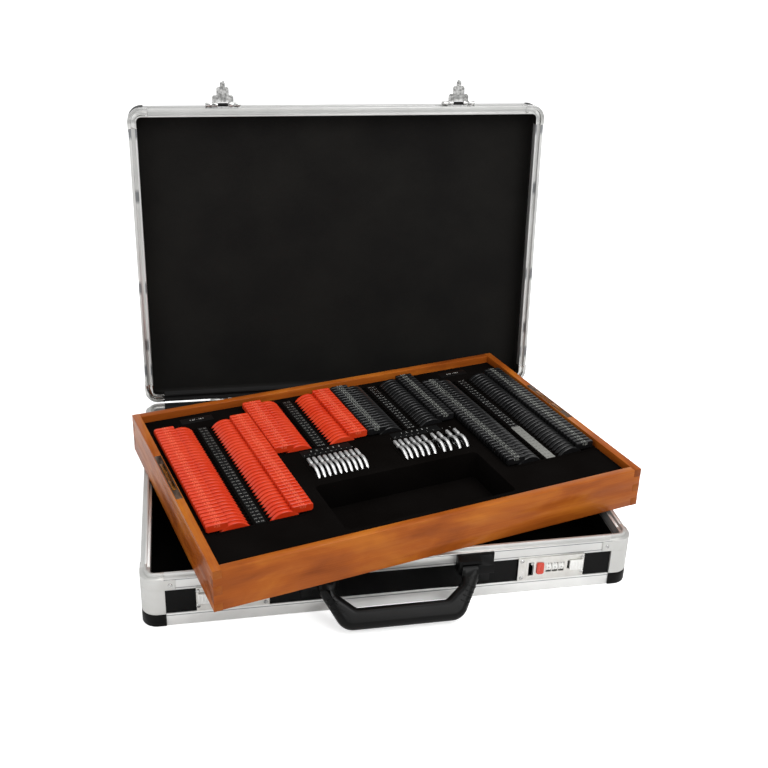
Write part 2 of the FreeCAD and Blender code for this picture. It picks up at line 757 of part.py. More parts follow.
def rib_places():
    """The ribs stand just outside the first and the last dial."""
    places = dial_places()
    reach = DIAL_W / 2 + PART_GAP + 0.5
    return [places[0] - reach, places[-1] + reach]


def dial_shaft():
    a, b = rib_places()
    return rod_x(a - 0.5, b + 0.5, -HALF_D + DIAL_IN, DIAL_Z, SHAFT_R)


def dial(x):
    """A number wheel with ten shallow thumb notches."""
    y = -HALF_D + DIAL_IN
    wheel = rod_x(x - DIAL_W / 2, x + DIAL_W / 2, y, DIAL_Z, DIAL_R)
    for i in range(10):
        a = math.radians(36 * i + 18)
        r = DIAL_R + 0.35
        notch = rod_x(x - DIAL_W, x + DIAL_W, y + r * math.cos(a), DIAL_Z + r * math.sin(a), 0.7)
        wheel = wheel.cut(notch)
    return wheel.cut(rod_x(x - DIAL_W, x + DIAL_W, y, DIAL_Z, SHAFT_R + PIN_GAP))


def lock_button():
    """Push button, with a flange behind the plate that keeps it in."""
    y = -HALF_D
    front = -HALF_D - LOCK_PLATE_T
    cap = button_blank(0, front - BUTTON_PROUD, y + 1.2)
    flange = button_blank(0.8, y + 0.3, y + 1.2)
    return fuse([cap, flange])


def lock_slide():
    """Thumb knob, link bar under the dials, and the hook that enters the hasp's staple."""
    y = -HALF_D
    front = y - LOCK_PLATE_T - PART_GAP
    knob = box(KNOB_X0, front - KNOB_PROUD, KNOB_Z0, KNOB_X1, front, KNOB_Z1)
    grip = box(KNOB_X0 + 2, front - KNOB_PROUD - 0.6, KNOB_Z0 + 1.5, KNOB_X0 + 3.4, front - KNOB_PROUD, KNOB_Z1 - 1.5)
    grips = [moved(grip, x=3.6 * i) for i in range(4)]
    stem = box(KNOB_X0 + 1, front, KNOB_Z0 + 2, KNOB_X1 - 4, y + 3.4, KNOB_Z1 - 2)
    bar_z0, bar_z1 = LOCK_Z0 + 2.8, LOCK_Z0 + 4.8
    upright_x = SLOT_X + SLOT_W / 2 + 0.3
    bar = box(upright_x, y + 1.6, bar_z0, KNOB_X1 - 4, y + 3.4, bar_z1)
    drop = box(KNOB_X0 + 1, y + 1.6, bar_z0, KNOB_X1 - 4, y + 3.4, KNOB_Z0 + 3)
    mid = (STAPLE_Z0 + STAPLE_Z1) / 2
    upright = box(upright_x, y + 0.4, bar_z0, upright_x + 1.6, y + 3.4, mid + 3.2)
    tip_x = SLOT_X + STAPLE_X + STAPLE_T / 2 + 0.7
    # The nose passes through the staple's eye with a clearance all round, and its tip is narrower still.
    wide, narrow = STAPLE_EYE / 2 - PART_GAP, STAPLE_EYE / 4
    nose = face_of([
        V(upright_x, y + 0.4, mid - wide), V(upright_x, y + 0.4, mid + wide), V(tip_x + 1.5, y + 0.4, mid + wide),
        V(tip_x, y + 0.4, mid + narrow), V(tip_x, y + 0.4, mid - narrow), V(tip_x + 1.5, y + 0.4, mid - wide),
    ]).extrude(V(0, 2.4, 0))
    return fuse([knob] + grips + [stem, drop, bar, upright, nose])


# Handle


def handle_axis():
    return -HALF_D - PIVOT_OUT, PIVOT_Z


def handle_outline():
    """The handle seen square on, hanging straight down from its pivots, as a flat face."""
    y, z = handle_axis()
    top, inner_top = ARM_X + ARM_W / 2, ARM_X - ARM_W / 2
    inner = GRIP_HALF - ARM_W
    bend_s, bend_r = 0.7 * ARM_W, 0.7 * ARM_W
    half = [
        (inner_top, 0, 0), (top, 0, 0), (top, bend_s - 2, bend_r), (GRIP_HALF, GRIP_OUT, ELBOW_R),
    ]
    opening = [(inner + 2, GRIP_IN, 6), (inner_top, bend_s, bend_r)]
    points = half + [(-x, s, r) for x, s, r in reversed(half)]
    points += [(-x, s, r) for x, s, r in reversed(opening)] + opening
    return rounded_face([V(x, y, z - s) for x, s, r in points], [r for x, s, r in points])


def handle():
    """Carrying handle: rounded outline of grip thickness, thinned and bored at the two eyes."""
    y, z = handle_axis()
    body = moved(handle_outline().extrude(V(0, GRIP_T, 0)), y=-GRIP_T / 2)
    edges = []
    for e in body.Edges:
        on_face = abs(abs(e.CenterOfMass.y - y) - GRIP_T / 2) < 0.01
        if on_face and e.CenterOfMass.z < z - 0.1:
            edges.append(e)
    body = body.makeFillet(GRIP_ROUND, edges)
    half = ARM_W / 2
    for x in (-ARM_X, ARM_X):
        for y0, y1 in ((y - GRIP_T, y - EYE_R), (y + EYE_R, y + GRIP_T)):
            body = body.cut(box(x - half - 1, y0, z - EYE_R - 1.0, x + half + 1, y1, z + 1))
        body = body.fuse(rod_x(x - half, x + half, y, z, EYE_R))
        body = body.cut(rod_x(x - ARM_W, x + ARM_W, y, z, HANDLE_PIN_R + PIN_GAP))
    return turned(body, V(0, y, z), X_AXIS, -HANDLE_ANGLE)


def handle_bracket():
    """Moulded bracket on the upper rail: back plate with a foot, two cheeks and a hood."""
    y, z = handle_axis()
    x0 = ARM_X - ARM_W / 2 - CHEEK_GAP - CHEEK_T
    inner = ARM_X + ARM_W / 2 + CHEEK_GAP
    back = box(x0, -HALF_D - BRACKET_T, PIVOT_Z - 6, BRACKET_X1, -HALF_D, BRACKET_TOP)
    out = y - 3.4
    cheek_low = box(x0, out, z - 3.4, x0 + CHEEK_T, -HALF_D, BRACKET_TOP)
    cheek_high = face_of([
        V(inner, -HALF_D, z - 6), V(inner, out, z - 4), V(inner, out, z + 6), V(inner, -HALF_D, BRACKET_TOP),
    ]).extrude(V(BRACKET_X1 - inner - 3.0, 0, 0))
    hood_z = z + EYE_R + 1.6
    hood = face_of([
        V(x0, -HALF_D, hood_z), V(x0, out + 1, hood_z), V(x0, out + 2, BRACKET_TOP - 2), V(x0, -HALF_D, BRACKET_TOP),
    ]).extrude(V(inner + 4 - x0, 0, 0))
    foot = box(inner + 5, -HALF_D - 2.2, BRACKET_FOOT_Z, BRACKET_X1 - 4, -HALF_D, PIVOT_Z - 5)
    pad_top = BASE_H - UPPER_RAIL_H - PART_GAP
    pad = box(inner + 5, -HALF_D, BRACKET_FOOT_Z, BRACKET_X1 - 4, -HALF_D + PANEL_INSET, pad_top)
    body = fuse([back, cheek_low, cheek_high, hood, foot, pad])
    clearance = rod_x(x0 + CHEEK_T, inner, y, z, EYE_R + 1.2)
    body = body.cut(clearance)
    return body.cut(rod_x(x0 - 1, BRACKET_X1, y, z, HANDLE_PIN_R))


def handle_pin():
    y, z = handle_axis()
    x0 = ARM_X - ARM_W / 2 - CHEEK_GAP - CHEEK_T
    return rod_x(x0, BRACKET_X1 - 3.0, y, z, HANDLE_PIN_R)


# Tray, drawn in its own frame: origin under the middle of it


def finger_edges(start):
    """Heights of every second finger of the joint, from start."""
    step = TRAY_H / FINGERS
    return [(i * step, (i + 1) * step) for i in range(start, FINGERS, 2)]


def long_board(side):
    """Front (side -1) or rear (side 1) board, whose fingers are the odd ones."""
    half_w = TRAY_W / 2
    y0, y1 = sorted([side * TRAY_D / 2, side * (TRAY_D / 2 - BOARD_W)])
    board = box(-half_w, y0, 0, half_w, y1, TRAY_H)
    for z0, z1 in finger_edges(0):
        for x in (-half_w, half_w - BOARD_W):
            board = board.cut(box(x, y0 - 1, z0, x + BOARD_W, y1 + 1, z1))
    return board


def side_board(side):
    """Left (side -1) or right (side 1) board, with the recess for the lift bail."""
    half_d = TRAY_D / 2
    x0, x1 = sorted([side * TRAY_W / 2, side * (TRAY_W / 2 - BOARD_W)])
    board = box(x0, -half_d, 0, x1, half_d, TRAY_H)
    for z0, z1 in finger_edges(1):
        for y in (-half_d, half_d - BOARD_W):
            board = board.cut(box(x0 - 1, y, z0, x1 + 1, y + BOARD_W, z1))
    board = board.cut(bail_plate_blank(side, 0.1, 0))
    board = board.cut(bail_bar(side, BAIL_GAP))
    for y in bail_leg_places():
        leg = rod_z(TRAY_H - BAIL_H - BAIL_LEG_L - BAIL_GAP, TRAY_H - BAIL_H, bail_x(side), y, BAIL_LEG_R + PIN_GAP)
        board = board.cut(leg)
    return board


def bail_x(side):
    return side * (TRAY_W / 2 - BOARD_W / 2)


def tray_bottom():
    x, y = TRAY_W / 2 - BOARD_W, TRAY_D / 2 - BOARD_W
    return box(-x, -y, 0, x, y, TRAY_BOTTOM_T)


def slot_half():
    return LENS_R + SLOT_SIDE_GAP


def lens_z(sink):
    return FOAM_TOP - sink


def rack_box(column, grow):
    """Outline of the slotted rack of one column of lenses."""
    name, share, side, count, front = column
    x = share * TRAY_W
    y0 = front - RACK_END - grow
    y1 = front + (count - 1) * PITCH + RACK_END + grow
    half = slot_half() + 1.6 + grow
    z0 = TRAY_BOTTOM_T if grow == 0 else TRAY_BOTTOM_T - 1
    z1 = FOAM_TOP if grow == 0 else FOAM_TOP + 1
    return box(x - half, y0, z0, x + half, y1, z1)


def metal_rack_box(row, grow):
    name, shares, swells = row
    half = slot_half() + 1.6 + grow
    x0 = shares[0] * TRAY_W - swells[0] - RACK_END - grow
    x1 = shares[-1] * TRAY_W + RACK_END + grow
    z0 = TRAY_BOTTOM_T if grow == 0 else TRAY_BOTTOM_T - 1
    z1 = FOAM_TOP if grow == 0 else FOAM_TOP + 1
    return box(x0, METAL_Y - half, z0, x1, METAL_Y + half, z1)


def lens_rack(column):
    """Foam rack with one slot for each lens, each slot round-bottomed like the disc."""
    name, share, side, count, front = column
    x, zc = share * TRAY_W, lens_z(LENS_SINK)
    slots = []
    for i in range(count):
        y = front + i * PITCH
        y0, y1 = y - RIM_T / 2 - SLOT_GAP, y + RIM_T / 2 + SLOT_GAP
        slots.append(box(x - slot_half(), y0, zc - LENS_R - SLOT_GAP, x + slot_half(), y1, FOAM_TOP + 1))
    return rack_box(column, 0).cut(Part.makeCompound(slots))


def metal_rack(row):
    """Foam rack whose slots are as wide as rim and glass together need."""
    name, shares, swells = row
    zc = lens_z(METAL_SINK)
    slots = []
    for share, swell in zip(shares, swells):
        x0 = share * TRAY_W - METAL_T / 2 - swell - SLOT_GAP
        x1 = share * TRAY_W + METAL_T / 2 + SLOT_GAP
        slots.append(box(x0, METAL_Y - slot_half(), zc - LENS_R - SLOT_GAP, x1, METAL_Y + slot_half(), FOAM_TOP + 1))
    return metal_rack_box(row, 0).cut(Part.makeCompound(slots))


def lens_racks():
    return [lens_rack(c) for c in COLUMNS] + [metal_rack(r) for r in METAL_ROWS]


def foam_insert():
    """Foam that fills the tray round the racks, with the recess for the trial frame."""
    x, y = TRAY_W / 2 - BOARD_W - FIT_GAP, TRAY_D / 2 - BOARD_W - FIT_GAP
    foam = box(-x, -y, TRAY_BOTTOM_T, x, y, FOAM_TOP)
    for column in COLUMNS:
        foam = foam.cut(rack_box(column, FIT_GAP))
    for row in METAL_ROWS:
        foam = foam.cut(metal_rack_box(row, FIT_GAP))
    recess = rounded_plate(RECESS_X0, RECESS_Y0, RECESS_X1, RECESS_Y1, TRAY_BOTTOM_T - 1, FOAM_TOP + 1, RECESS_R)
    return foam.cut(recess)


def label_cards():
    cards = []
    for share, width, y0, y1 in CARDS:
        x0, x1 = (share - width / 2) * TRAY_W, (share + width / 2) * TRAY_W
        cards.append(box(x0, y0, FOAM_TOP, x1, y1, FOAM_TOP + CARD_T))
    return cards


def lens_rim(x, y, side):
    """Plastic rim with its flag, which stands over the foam to one side."""
    zc = lens_z(LENS_SINK)
    disc = rod_y(y - RIM_T / 2, y + RIM_T / 2, x, zc, LENS_R)
    x0, x1 = sorted([x + side * FLAG_X0, x + side * FLAG_X1])
    flag = box(x0, y - FLAG_T / 2, zc + FLAG_Z0, x1, y + FLAG_T / 2, zc + FLAG_Z1)
    return disc.fuse(flag).cut(rod_y(y - RIM_T, y + RIM_T, x, zc, RIM_HOLE_R))


def lens_glass(x, y):
    zc = lens_z(LENS_SINK)
    return rod_y(y - GLASS_T / 2, y + GLASS_T / 2, x, zc, RIM_HOLE_R)


def columns_of(name):
    return [c for c in COLUMNS if c[0] == name]


def rims_of(name):
    pieces = []
    for _, share, side, count, front in columns_of(name):
        first = lens_rim(share * TRAY_W, front, side)
        pieces += [moved(first, y=i * PITCH) for i in range(count)]
    return pieces


def glasses_of(name):
    pieces = []
    for _, share, side, count, front in columns_of(name):
        first = lens_glass(share * TRAY_W, front)
        pieces += [moved(first, y=i * PITCH) for i in range(count)]
    return pieces


def metal_rim(x):
    """Metal rim across the tray, with a low tab towards the back."""
    zc = lens_z(METAL_SINK)
    x0, x1 = x - METAL_T / 2, x + METAL_T / 2
    disc = rod_x(x0, x1, METAL_Y, zc, LENS_R)
    tab = box(x0, METAL_TAB_Y0, zc + METAL_TAB_Z0, x1, METAL_TAB_Y1, zc + METAL_TAB_Z1)
    return disc.fuse(tab).cut(rod_x(x - METAL_T, x + METAL_T, METAL_Y, zc, METAL_HOLE_R))


def metal_glass(x, swell):
    """The glass in a metal rim; a prism's glass swells past the rim on the left."""
    zc = lens_z(METAL_SINK)
    glass = rod_x(x - METAL_GLASS_T / 2, x + METAL_GLASS_T / 2, METAL_Y, zc, METAL_HOLE_R)
    if swell == 0:
        return glass
    x0 = x - METAL_T / 2 - swell
    return glass.fuse(rod_x(x0, x, METAL_Y, zc, METAL_HOLE_R - 1.0))


def metal_rims(row):
    name, shares, swells = row
    return [metal_rim(share * TRAY_W) for share in shares]


def metal_glasses(row):
    name, shares, swells = row
    return [metal_glass(share * TRAY_W, swell) for share, swell in zip(shares, swells)]


# Lift bails


def bail_leg_places():
    return [BAIL_Y - BAIL_L / 2 + 4.0, BAIL_Y + BAIL_L / 2 - 4.0]


def bail_plate_blank(side, grow, lift):
    """Outline of the inset plate, as deep as the plate is thick."""
    x = bail_x(side)
    half_w, half_l = BAIL_PLATE_W / 2 + grow, BAIL_PLATE_L / 2 + grow
    return box(x - half_w, BAIL_Y - half_l, TRAY_H - BAIL_PLATE_T, x + half_w, BAIL_Y + half_l, TRAY_H + lift + grow)


def bail_bar(side, grow):
    """The bail's bar; grown, it is the slot that the bar lies in."""
    x = bail_x(side)
    half_w, half_l = BAIL_W / 2 + grow, BAIL_L / 2 + grow
    top = TRAY_H if grow == 0 else TRAY_H + 1
    return box(x - half_w, BAIL_Y - half_l, TRAY_H - BAIL_H, x + half_w, BAIL_Y + half_l, top)


def bail_plate(side):
    """Inset plate, flush with the top of the side board, with the slot for the bail."""
    return bail_plate_blank(side, 0, 0).cut(bail_bar(side, BAIL_GAP))


def bail(side):
    """Pull-up bail: a bar flush in its slot, on two legs that slide in the board."""
    pieces = [bail_bar(side, 0)]
    for y in bail_leg_places():
        z = TRAY_H - BAIL_H
        pieces.append(rod_z(z - BAIL_LEG_L, z + 1, bail_x(side), y, BAIL_LEG_R))
    grooves = []
    for d in range(-8, 9, 2):
        y0, y1 = BAIL_Y + d - 0.4, BAIL_Y + d + 0.4
        grooves.append(box(bail_x(side) - 3, y0, TRAY_H - 0.5, bail_x(side) + 3, y1, TRAY_H + 1))
    return fuse(pieces).cut(Part.makeCompound(grooves))


def main():
    os.makedirs("parts", exist_ok=True)

    save("base_upper_rails", base_upper_rails())
    save("base_lower_rails", base_lower_rails())
    save("base_side_panels", base_side_panels())
    save("base_bottom_panel", base_bottom_panel())
    save("base_lining", base_lining())
    save("base_corner_fittings", corner_fittings())
    save("base_corner_posts", corner_posts())
    save("base_corner_feet", corner_feet())
    save("case_screws", case_screws())
    save("hinge_base_leaves", hinge_base_leaves())
    save("pivot_pins", hinge_pins() + both_sides(handle_pin()) + both_sides(dial_shaft()))

    save("lid_rim_rails", lid_rim_rails())
    save("lid_edge_rails", lid_edge_rails())
    save("lid_side_panels", lid_side_panels())
    save("lid_top_panel", lid_top_panel())
    save("lid_lining", lid_lining())
    save("lid_corner_caps", lid_corner_caps())
    save("lid_corner_guards", lid_corner_guards())
    save("hinge_lid_leaves", hinge_lid_leaves())
    save("hasp_brackets", hasp_brackets())
    save("hasp_springs", open_lid(both_sides(hasp_spring())))
    save("right_hasp", open_lid([hasp_at_rest()]))
    save("left_hasp", open_lid([mirror_x(hasp_at_rest())]))

    save("lock_plates", both_sides(lock_plate()))
    save("lock_bodies", both_sides(lock_body()))
    for side, place in (("right", lambda s: s), ("left", mirror_x)):
        save(side + "_lock_slide", [place(lock_slide())])
        save(side + "_lock_button", [place(lock_button())])
        for i, x in enumerate(dial_places()):
            save("%s_lock_dial_%d" % (side, i + 1), [place(dial(x))])

    save("handle_brackets", both_sides(handle_bracket()))
    save("handle", [handle()])

    save("tray_front_board", place_tray([long_board(-1)]))
    save("tray_rear_board", place_tray([long_board(1)]))
    save("tray_left_board", place_tray([side_board(-1)]))
    save("tray_right_board", place_tray([side_board(1)]))
    save("tray_bottom", place_tray([tray_bottom()]))
    save("foam_insert", place_tray([foam_insert()]))
    save("lens_racks", place_tray(lens_racks()))
    save("label_cards", place_tray(label_cards()))
    save("bail_plates", place_tray([bail_plate(-1), bail_plate(1)]))
    save("left_bail", place_tray([bail(-1)]))
    save("right_bail", place_tray([bail(1)]))

    for name in ("red_long", "red_half", "black_half", "black_long"):
        save(name + "_rims", place_tray(rims_of(name)))
        save(name + "_glasses", place_tray(glasses_of(name)))
    for row in METAL_ROWS:
        save(row[0] + "_rims", place_tray(metal_rims(row)))
        save(row[0] + "_glasses", place_tray(metal_glasses(row)))


main()
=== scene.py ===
import json
import logging
import math
from dataclasses import dataclass, replace
from enum import Enum
from typing import Any, Callable, Iterable, Sequence

import bpy
from bpy.types import Material, Mesh, MeshPolygon, Node, NodeSocket, NodeTree, Object
from mathutils import Matrix, Vector

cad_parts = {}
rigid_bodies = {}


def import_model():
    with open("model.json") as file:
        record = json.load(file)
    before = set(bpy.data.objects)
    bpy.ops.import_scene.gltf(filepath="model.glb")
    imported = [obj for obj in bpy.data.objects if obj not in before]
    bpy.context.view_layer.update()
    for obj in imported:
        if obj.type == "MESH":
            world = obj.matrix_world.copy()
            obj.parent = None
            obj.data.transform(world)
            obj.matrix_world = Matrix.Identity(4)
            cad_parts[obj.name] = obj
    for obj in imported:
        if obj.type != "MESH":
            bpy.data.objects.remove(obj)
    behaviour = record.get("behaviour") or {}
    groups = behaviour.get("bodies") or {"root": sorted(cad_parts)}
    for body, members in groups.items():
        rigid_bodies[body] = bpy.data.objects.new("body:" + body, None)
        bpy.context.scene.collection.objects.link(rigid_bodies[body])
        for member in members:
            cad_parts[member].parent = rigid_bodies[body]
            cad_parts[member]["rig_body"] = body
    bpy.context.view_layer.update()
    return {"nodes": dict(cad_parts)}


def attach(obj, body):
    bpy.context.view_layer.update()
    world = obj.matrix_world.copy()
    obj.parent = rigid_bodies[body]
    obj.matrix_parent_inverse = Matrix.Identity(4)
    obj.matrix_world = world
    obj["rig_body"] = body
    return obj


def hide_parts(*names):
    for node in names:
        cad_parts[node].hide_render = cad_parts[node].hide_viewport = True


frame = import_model()

LOG = logging.getLogger("trial_lens_case")
MM = 0.001
# Points of a CAD mesh this close are one, and faces that meet at less than this angle are one face.
CAD_MERGE_MM, CAD_FLAT_ANGLE = 0.01, 0.6

# Real sizes that the looks share with the solids, in millimetres.
CASE_W, CASE_D = 530.0, 388.0
HINGE_Y, HINGE_Z = 196.6, 58.0
OPEN_ANGLE = 93.4
TRAY_X, TRAY_Y, TRAY_Z, TRAY_YAW = 8.2, -31.6, 62.0, 14.3
FOAM_TOP = 38.0
CARD_T = 0.4
LENS_PITCH = 6.5
TRAY_W = 502.0
# Lenses in a long and in a half column, and where the front one stands.
LONG = (34, -94.0)
HALF = (19, 30.5)
# Centre lines of the cards beside the columns and over the metal rows, as shares of the tray's width.
LONG_CARDS = (-0.3541, 0.3551)
HALF_CARDS = (-0.1195, 0.1161)
ROW_CARDS = (-0.1175, 0.1155)
METAL_Y = -18.2
LENS_R = 19.0
CYLINDER_XS = tuple((-0.1739 + 0.01315 * i) * TRAY_W for i in range(10))
PRISM_SHARES = (0.0448, 0.0574, 0.0723, 0.0873, 0.1022, 0.1183, 0.1432, 0.1606, 0.1843, 0.2052)
PRISM_XS = tuple(share * TRAY_W for share in PRISM_SHARES)


def lid_place() -> Matrix:
    """Takes what is drawn on the shut lid to where it stands open.

    Returns:
        The turn about the lid's hinge.
    """
    hinge = Vector((0.0, HINGE_Y * MM, HINGE_Z * MM))
    turn = Matrix.Rotation(math.radians(-OPEN_ANGLE), 4, "X")
    return Matrix.Translation(hinge) @ turn @ Matrix.Translation(-hinge)


def tray_place() -> Matrix:
    """Takes what is drawn in the tray's own frame to where the tray lies askew."""
    spot = Matrix.Translation(Vector((TRAY_X, TRAY_Y, TRAY_Z)) * MM)
    return spot @ Matrix.Rotation(math.radians(TRAY_YAW), 4, "Z")


class Axis(Enum):
    """Direction along which a rail or a board runs."""

    X = 0
    Y = 1
    Z = 2


def linear(code: str) -> tuple[float, float, float, float]:
    """Turns an sRGB hex value into a linear colour.

    Args:
        code: six hex digits, with or without a leading hash.

    Returns:
        The linear red, green, blue and an alpha of one.
    """
    digits = code.lstrip("#")
    channels = [int(digits[i : i + 2], 16) / 255.0 for i in (0, 2, 4)]
    r, g, b = [c / 12.92 if c <= 0.04045 else ((c + 0.055) / 1.055) ** 2.4 for c in channels]
    return (r, g, b, 1.0)


def set_values(node: Node, values: dict[Any, Any]) -> None:
    """Sets a node's own sockets, by input name or number."""
    for name, value in values.items():
        node.inputs[name].default_value = value


def add_node(
    tree: NodeTree,
    kind: str,
    values: dict[Any, Any] | None = None,
    links: dict[Any, NodeSocket] | None = None,
    feeds: NodeSocket | None = None,
    stops: Sequence[tuple[float, str]] = (),
    **settings: Any,
) -> Node:
    """Adds a shader node with its settings, values and links.

    Args:
        tree: the material's or world's node tree.
        kind: the node's type, without the ShaderNode prefix.
        values: default values by input name or number.
        links: sockets to link, by input name or number.
        feeds: the socket that the node's first output goes to, if any.
        stops: a colour ramp's places from 0 to 1, with their sRGB hex colours.
        **settings: properties of the node itself.

    Returns:
        The new node.
    """
    node = tree.nodes.new("ShaderNode" + kind)
    for name, value in settings.items():
        setattr(node, name, value)
    set_values(node, values or {})
    for name, source in (links or {}).items():
        tree.links.new(source, node.inputs[name])
    if feeds is not None:
        tree.links.new(node.outputs[0], feeds)
    if stops:
        elements = node.color_ramp.elements
        while len(elements) < len(stops):
            elements.new(0.5)
        for element, (place, code) in zip(elements, stops):
            element.position = place
            element.color = linear(code)
    return node


def ends(source: tuple[float, float], target: tuple[float, float]) -> dict[str, float]:
    """The ends of a Map Range node: the range it comes from and the one it goes to."""
    return {"From Min": source[0], "From Max": source[1], "To Min": target[0], "To Max": target[1]}


def grit(size_mm: float, detail: float) -> dict[str, float]:
    """Scale and layers of a noise whose features are about a real size."""
    return {"Scale": 1000.0 / size_mm, "Detail": detail}


def depth(depth_mm: float, strength: float) -> dict[str, float]:
    """Distance and strength of a bump of a real depth."""
    return {"Distance": depth_mm * MM, "Strength": strength}


@dataclass(frozen=True)
class Finish:
    """What every finish shares: its name, and the shader that its nodes feed."""

    name: str

    def build(self) -> Material:
        """Makes the material.

        Returns:
            The material with its nodes.
        """
        material = bpy.data.materials.new(self.name)
        material.use_nodes = True
        tree = material.node_tree
        tree.nodes.clear()
        shader = add_node(tree, "BsdfPrincipled")
        output = add_node(tree, "OutputMaterial", links={"Surface": shader.outputs["BSDF"]})
        output.is_active_output = True
        place = add_node(tree, "TexCoord")
        self.fill(tree, shader, place.outputs["Object"])
        return material

    def fill(self, tree: NodeTree, shader: Node, place: NodeSocket) -> None:
        """Adds the finish's own nodes.

        Args:
            tree: the material's node tree.
            shader: its Principled shader.
            place: Object coordinates, in metres.
        """
        raise NotImplementedError


@dataclass(frozen=True)
class AnodisedAluminium(Finish):
    """Extruded aluminium, satin anodised.

    Fine draw lines from the die run along each rail, and the rolled-in grooves are darkened by thin lines of painted
    shade.
    The rails on the hinge side can carry a near black band of painted shade, between two levels in millimetres.
    """

    # These default tones, kept by the lower rails, are lightened as painted reflection of the white floor in front of
    # them.
    color: str = "#EFEFED"
    shade: str = "#DEDEDC"
    across: Axis = Axis.Z
    grooves_mm: tuple[float, ...] = ()
    groove_color: str = "#808284"
    roughness: float = 0.34
    metallic: float = 0.7
    tape: tuple[Axis, float, float] | None = None
    tape_color: str = "#0A0909"

    def fill(self, tree: NodeTree, shader: Node, place: NodeSocket) -> None:
        """Adds draw lines, cloudy tone, painted shade in the grooves and the band of painted shade on the hinge side.

        Args:
            tree: the material's node tree.
            shader: its Principled shader.
            place: Object coordinates, in metres.
        """
        # Draw lines are some 0.1 mm apart; they are drawn 0.8 mm apart so that they show.
        stretch = [12.0, 12.0, 12.0]
        stretch[self.across.value] = 1250.0
        drawn = add_node(tree, "Mapping", {"Scale": tuple(stretch)}, {"Vector": place}).outputs["Vector"]
        lines = add_node(tree, "TexNoise", {"Scale": 1.0, "Detail": 3.0}, {"Vector": drawn}).outputs["Fac"]
        cloud = add_node(tree, "TexNoise", grit(45.0, 4.0), {"Vector": place}).outputs["Fac"]
        tones = [(0.3, self.color), (0.75, self.shade)]
        color = add_node(tree, "ValToRGB", links={"Fac": cloud}, stops=tones).outputs["Color"]
        split = add_node(tree, "SeparateXYZ", links={"Vector": place})
        # Each rolled-in groove is darkened along its line with painted shade, which stands in for the shade inside
        # it.
        for level in self.grooves_mm:
            level_at = split.outputs[self.across.value]
            off = add_node(tree, "Math", {1: level * MM}, {0: level_at}, operation="SUBTRACT")
            gap = add_node(tree, "Math", links={0: off.outputs[0]}, operation="ABSOLUTE")
            # The painted shade of a groove is 0.6 mm wide, with edges of another 0.3 mm that fade.
            core = add_node(tree, "MapRange", ends((0.0003, 0.0006), (1.0, 0.0)), {"Value": gap.outputs[0]})
            mixed = {"Factor": core.outputs["Result"], 6: color}
            color = add_node(tree, "Mix", {7: linear(self.groove_color)}, mixed, data_type="RGBA").outputs[2]
        set_values(shader, {"Metallic": self.metallic})
        softer = ends((0.2, 0.8), (self.roughness - 0.08, self.roughness + 0.1))
        rough = add_node(tree, "MapRange", softer, {"Value": lines}).outputs["Result"]
        # The hinge-side rails lie in shade: this band paints that shade in, near black, rough and not metallic.
        if self.tape is not None:
            axis, low, high = self.tape
            band = {1: (low + high) / 2 * MM, 2: (high - low) / 2 * MM}
            hinge_shaded = add_node(tree, "Math", band, {0: split.outputs[axis.value]}, operation="COMPARE").outputs[0]
            mixed = {"Factor": hinge_shaded, 6: color}
            color = add_node(tree, "Mix", {7: linear(self.tape_color)}, mixed, data_type="RGBA").outputs[2]
            shade_metallic = ends((0.0, 1.0), (self.metallic, 0.0))
            add_node(tree, "MapRange", shade_metallic, {"Value": hinge_shaded}, shader.inputs["Metallic"])
            rough = add_node(tree, "Math", links={0: rough, 1: hinge_shaded}, operation="MAXIMUM").outputs[0]
        tree.links.new(color, shader.inputs["Base Color"])
        tree.links.new(rough, shader.inputs["Roughness"])
        add_node(tree, "Bump", depth(0.04, 0.35), {"Height": lines}, shader.inputs["Normal"])


@dataclass(frozen=True)
class PlatedMetal(Finish):
    """Electroplated steel or brass: a clean mirror with faint smears and pin-point wear, and where its second tone is
    dark, painted reflection.
    """

    color: str = "#DADBDD"
    worn: str = "#B9BBBE"
    roughness: float = 0.14
    metallic: float = 1.0
    smear_mm: float = 9.0

    def fill(self, tree: NodeTree, shader: Node, place: NodeSocket) -> None:
        """Adds smears to the roughness and a change of tone, which on the hasps is dark painted reflection.

        Args:
            tree: the material's node tree.
            shader: its Principled shader.
            place: Object coordinates, in metres.
        """
        smears_and_reflections = add_node(tree, "TexNoise", grit(self.smear_mm, 6.0), {"Vector": place}).outputs["Fac"]
        # The second tone is wear, and where it is dark it is painted reflection.
        tones = [(0.35, self.color), (0.8, self.worn)]
        add_node(tree, "ValToRGB", None, {"Fac": smears_and_reflections}, shader.inputs["Base Color"], tones)
        set_values(shader, {"Metallic": self.metallic})
        dulled = ends((0.3, 0.75), (self.roughness, self.roughness + 0.12))
        add_node(tree, "MapRange", dulled, {"Value": smears_and_reflections}, shader.inputs["Roughness"])
        # Orange peel of the plating, about 1.5 mm across and a few micrometres deep.
        peel = add_node(tree, "TexNoise", grit(1.5, 2.0), {"Vector": place}).outputs["Fac"]
        add_node(tree, "Bump", depth(0.01, 0.3), {"Height": peel}, shader.inputs["Normal"])


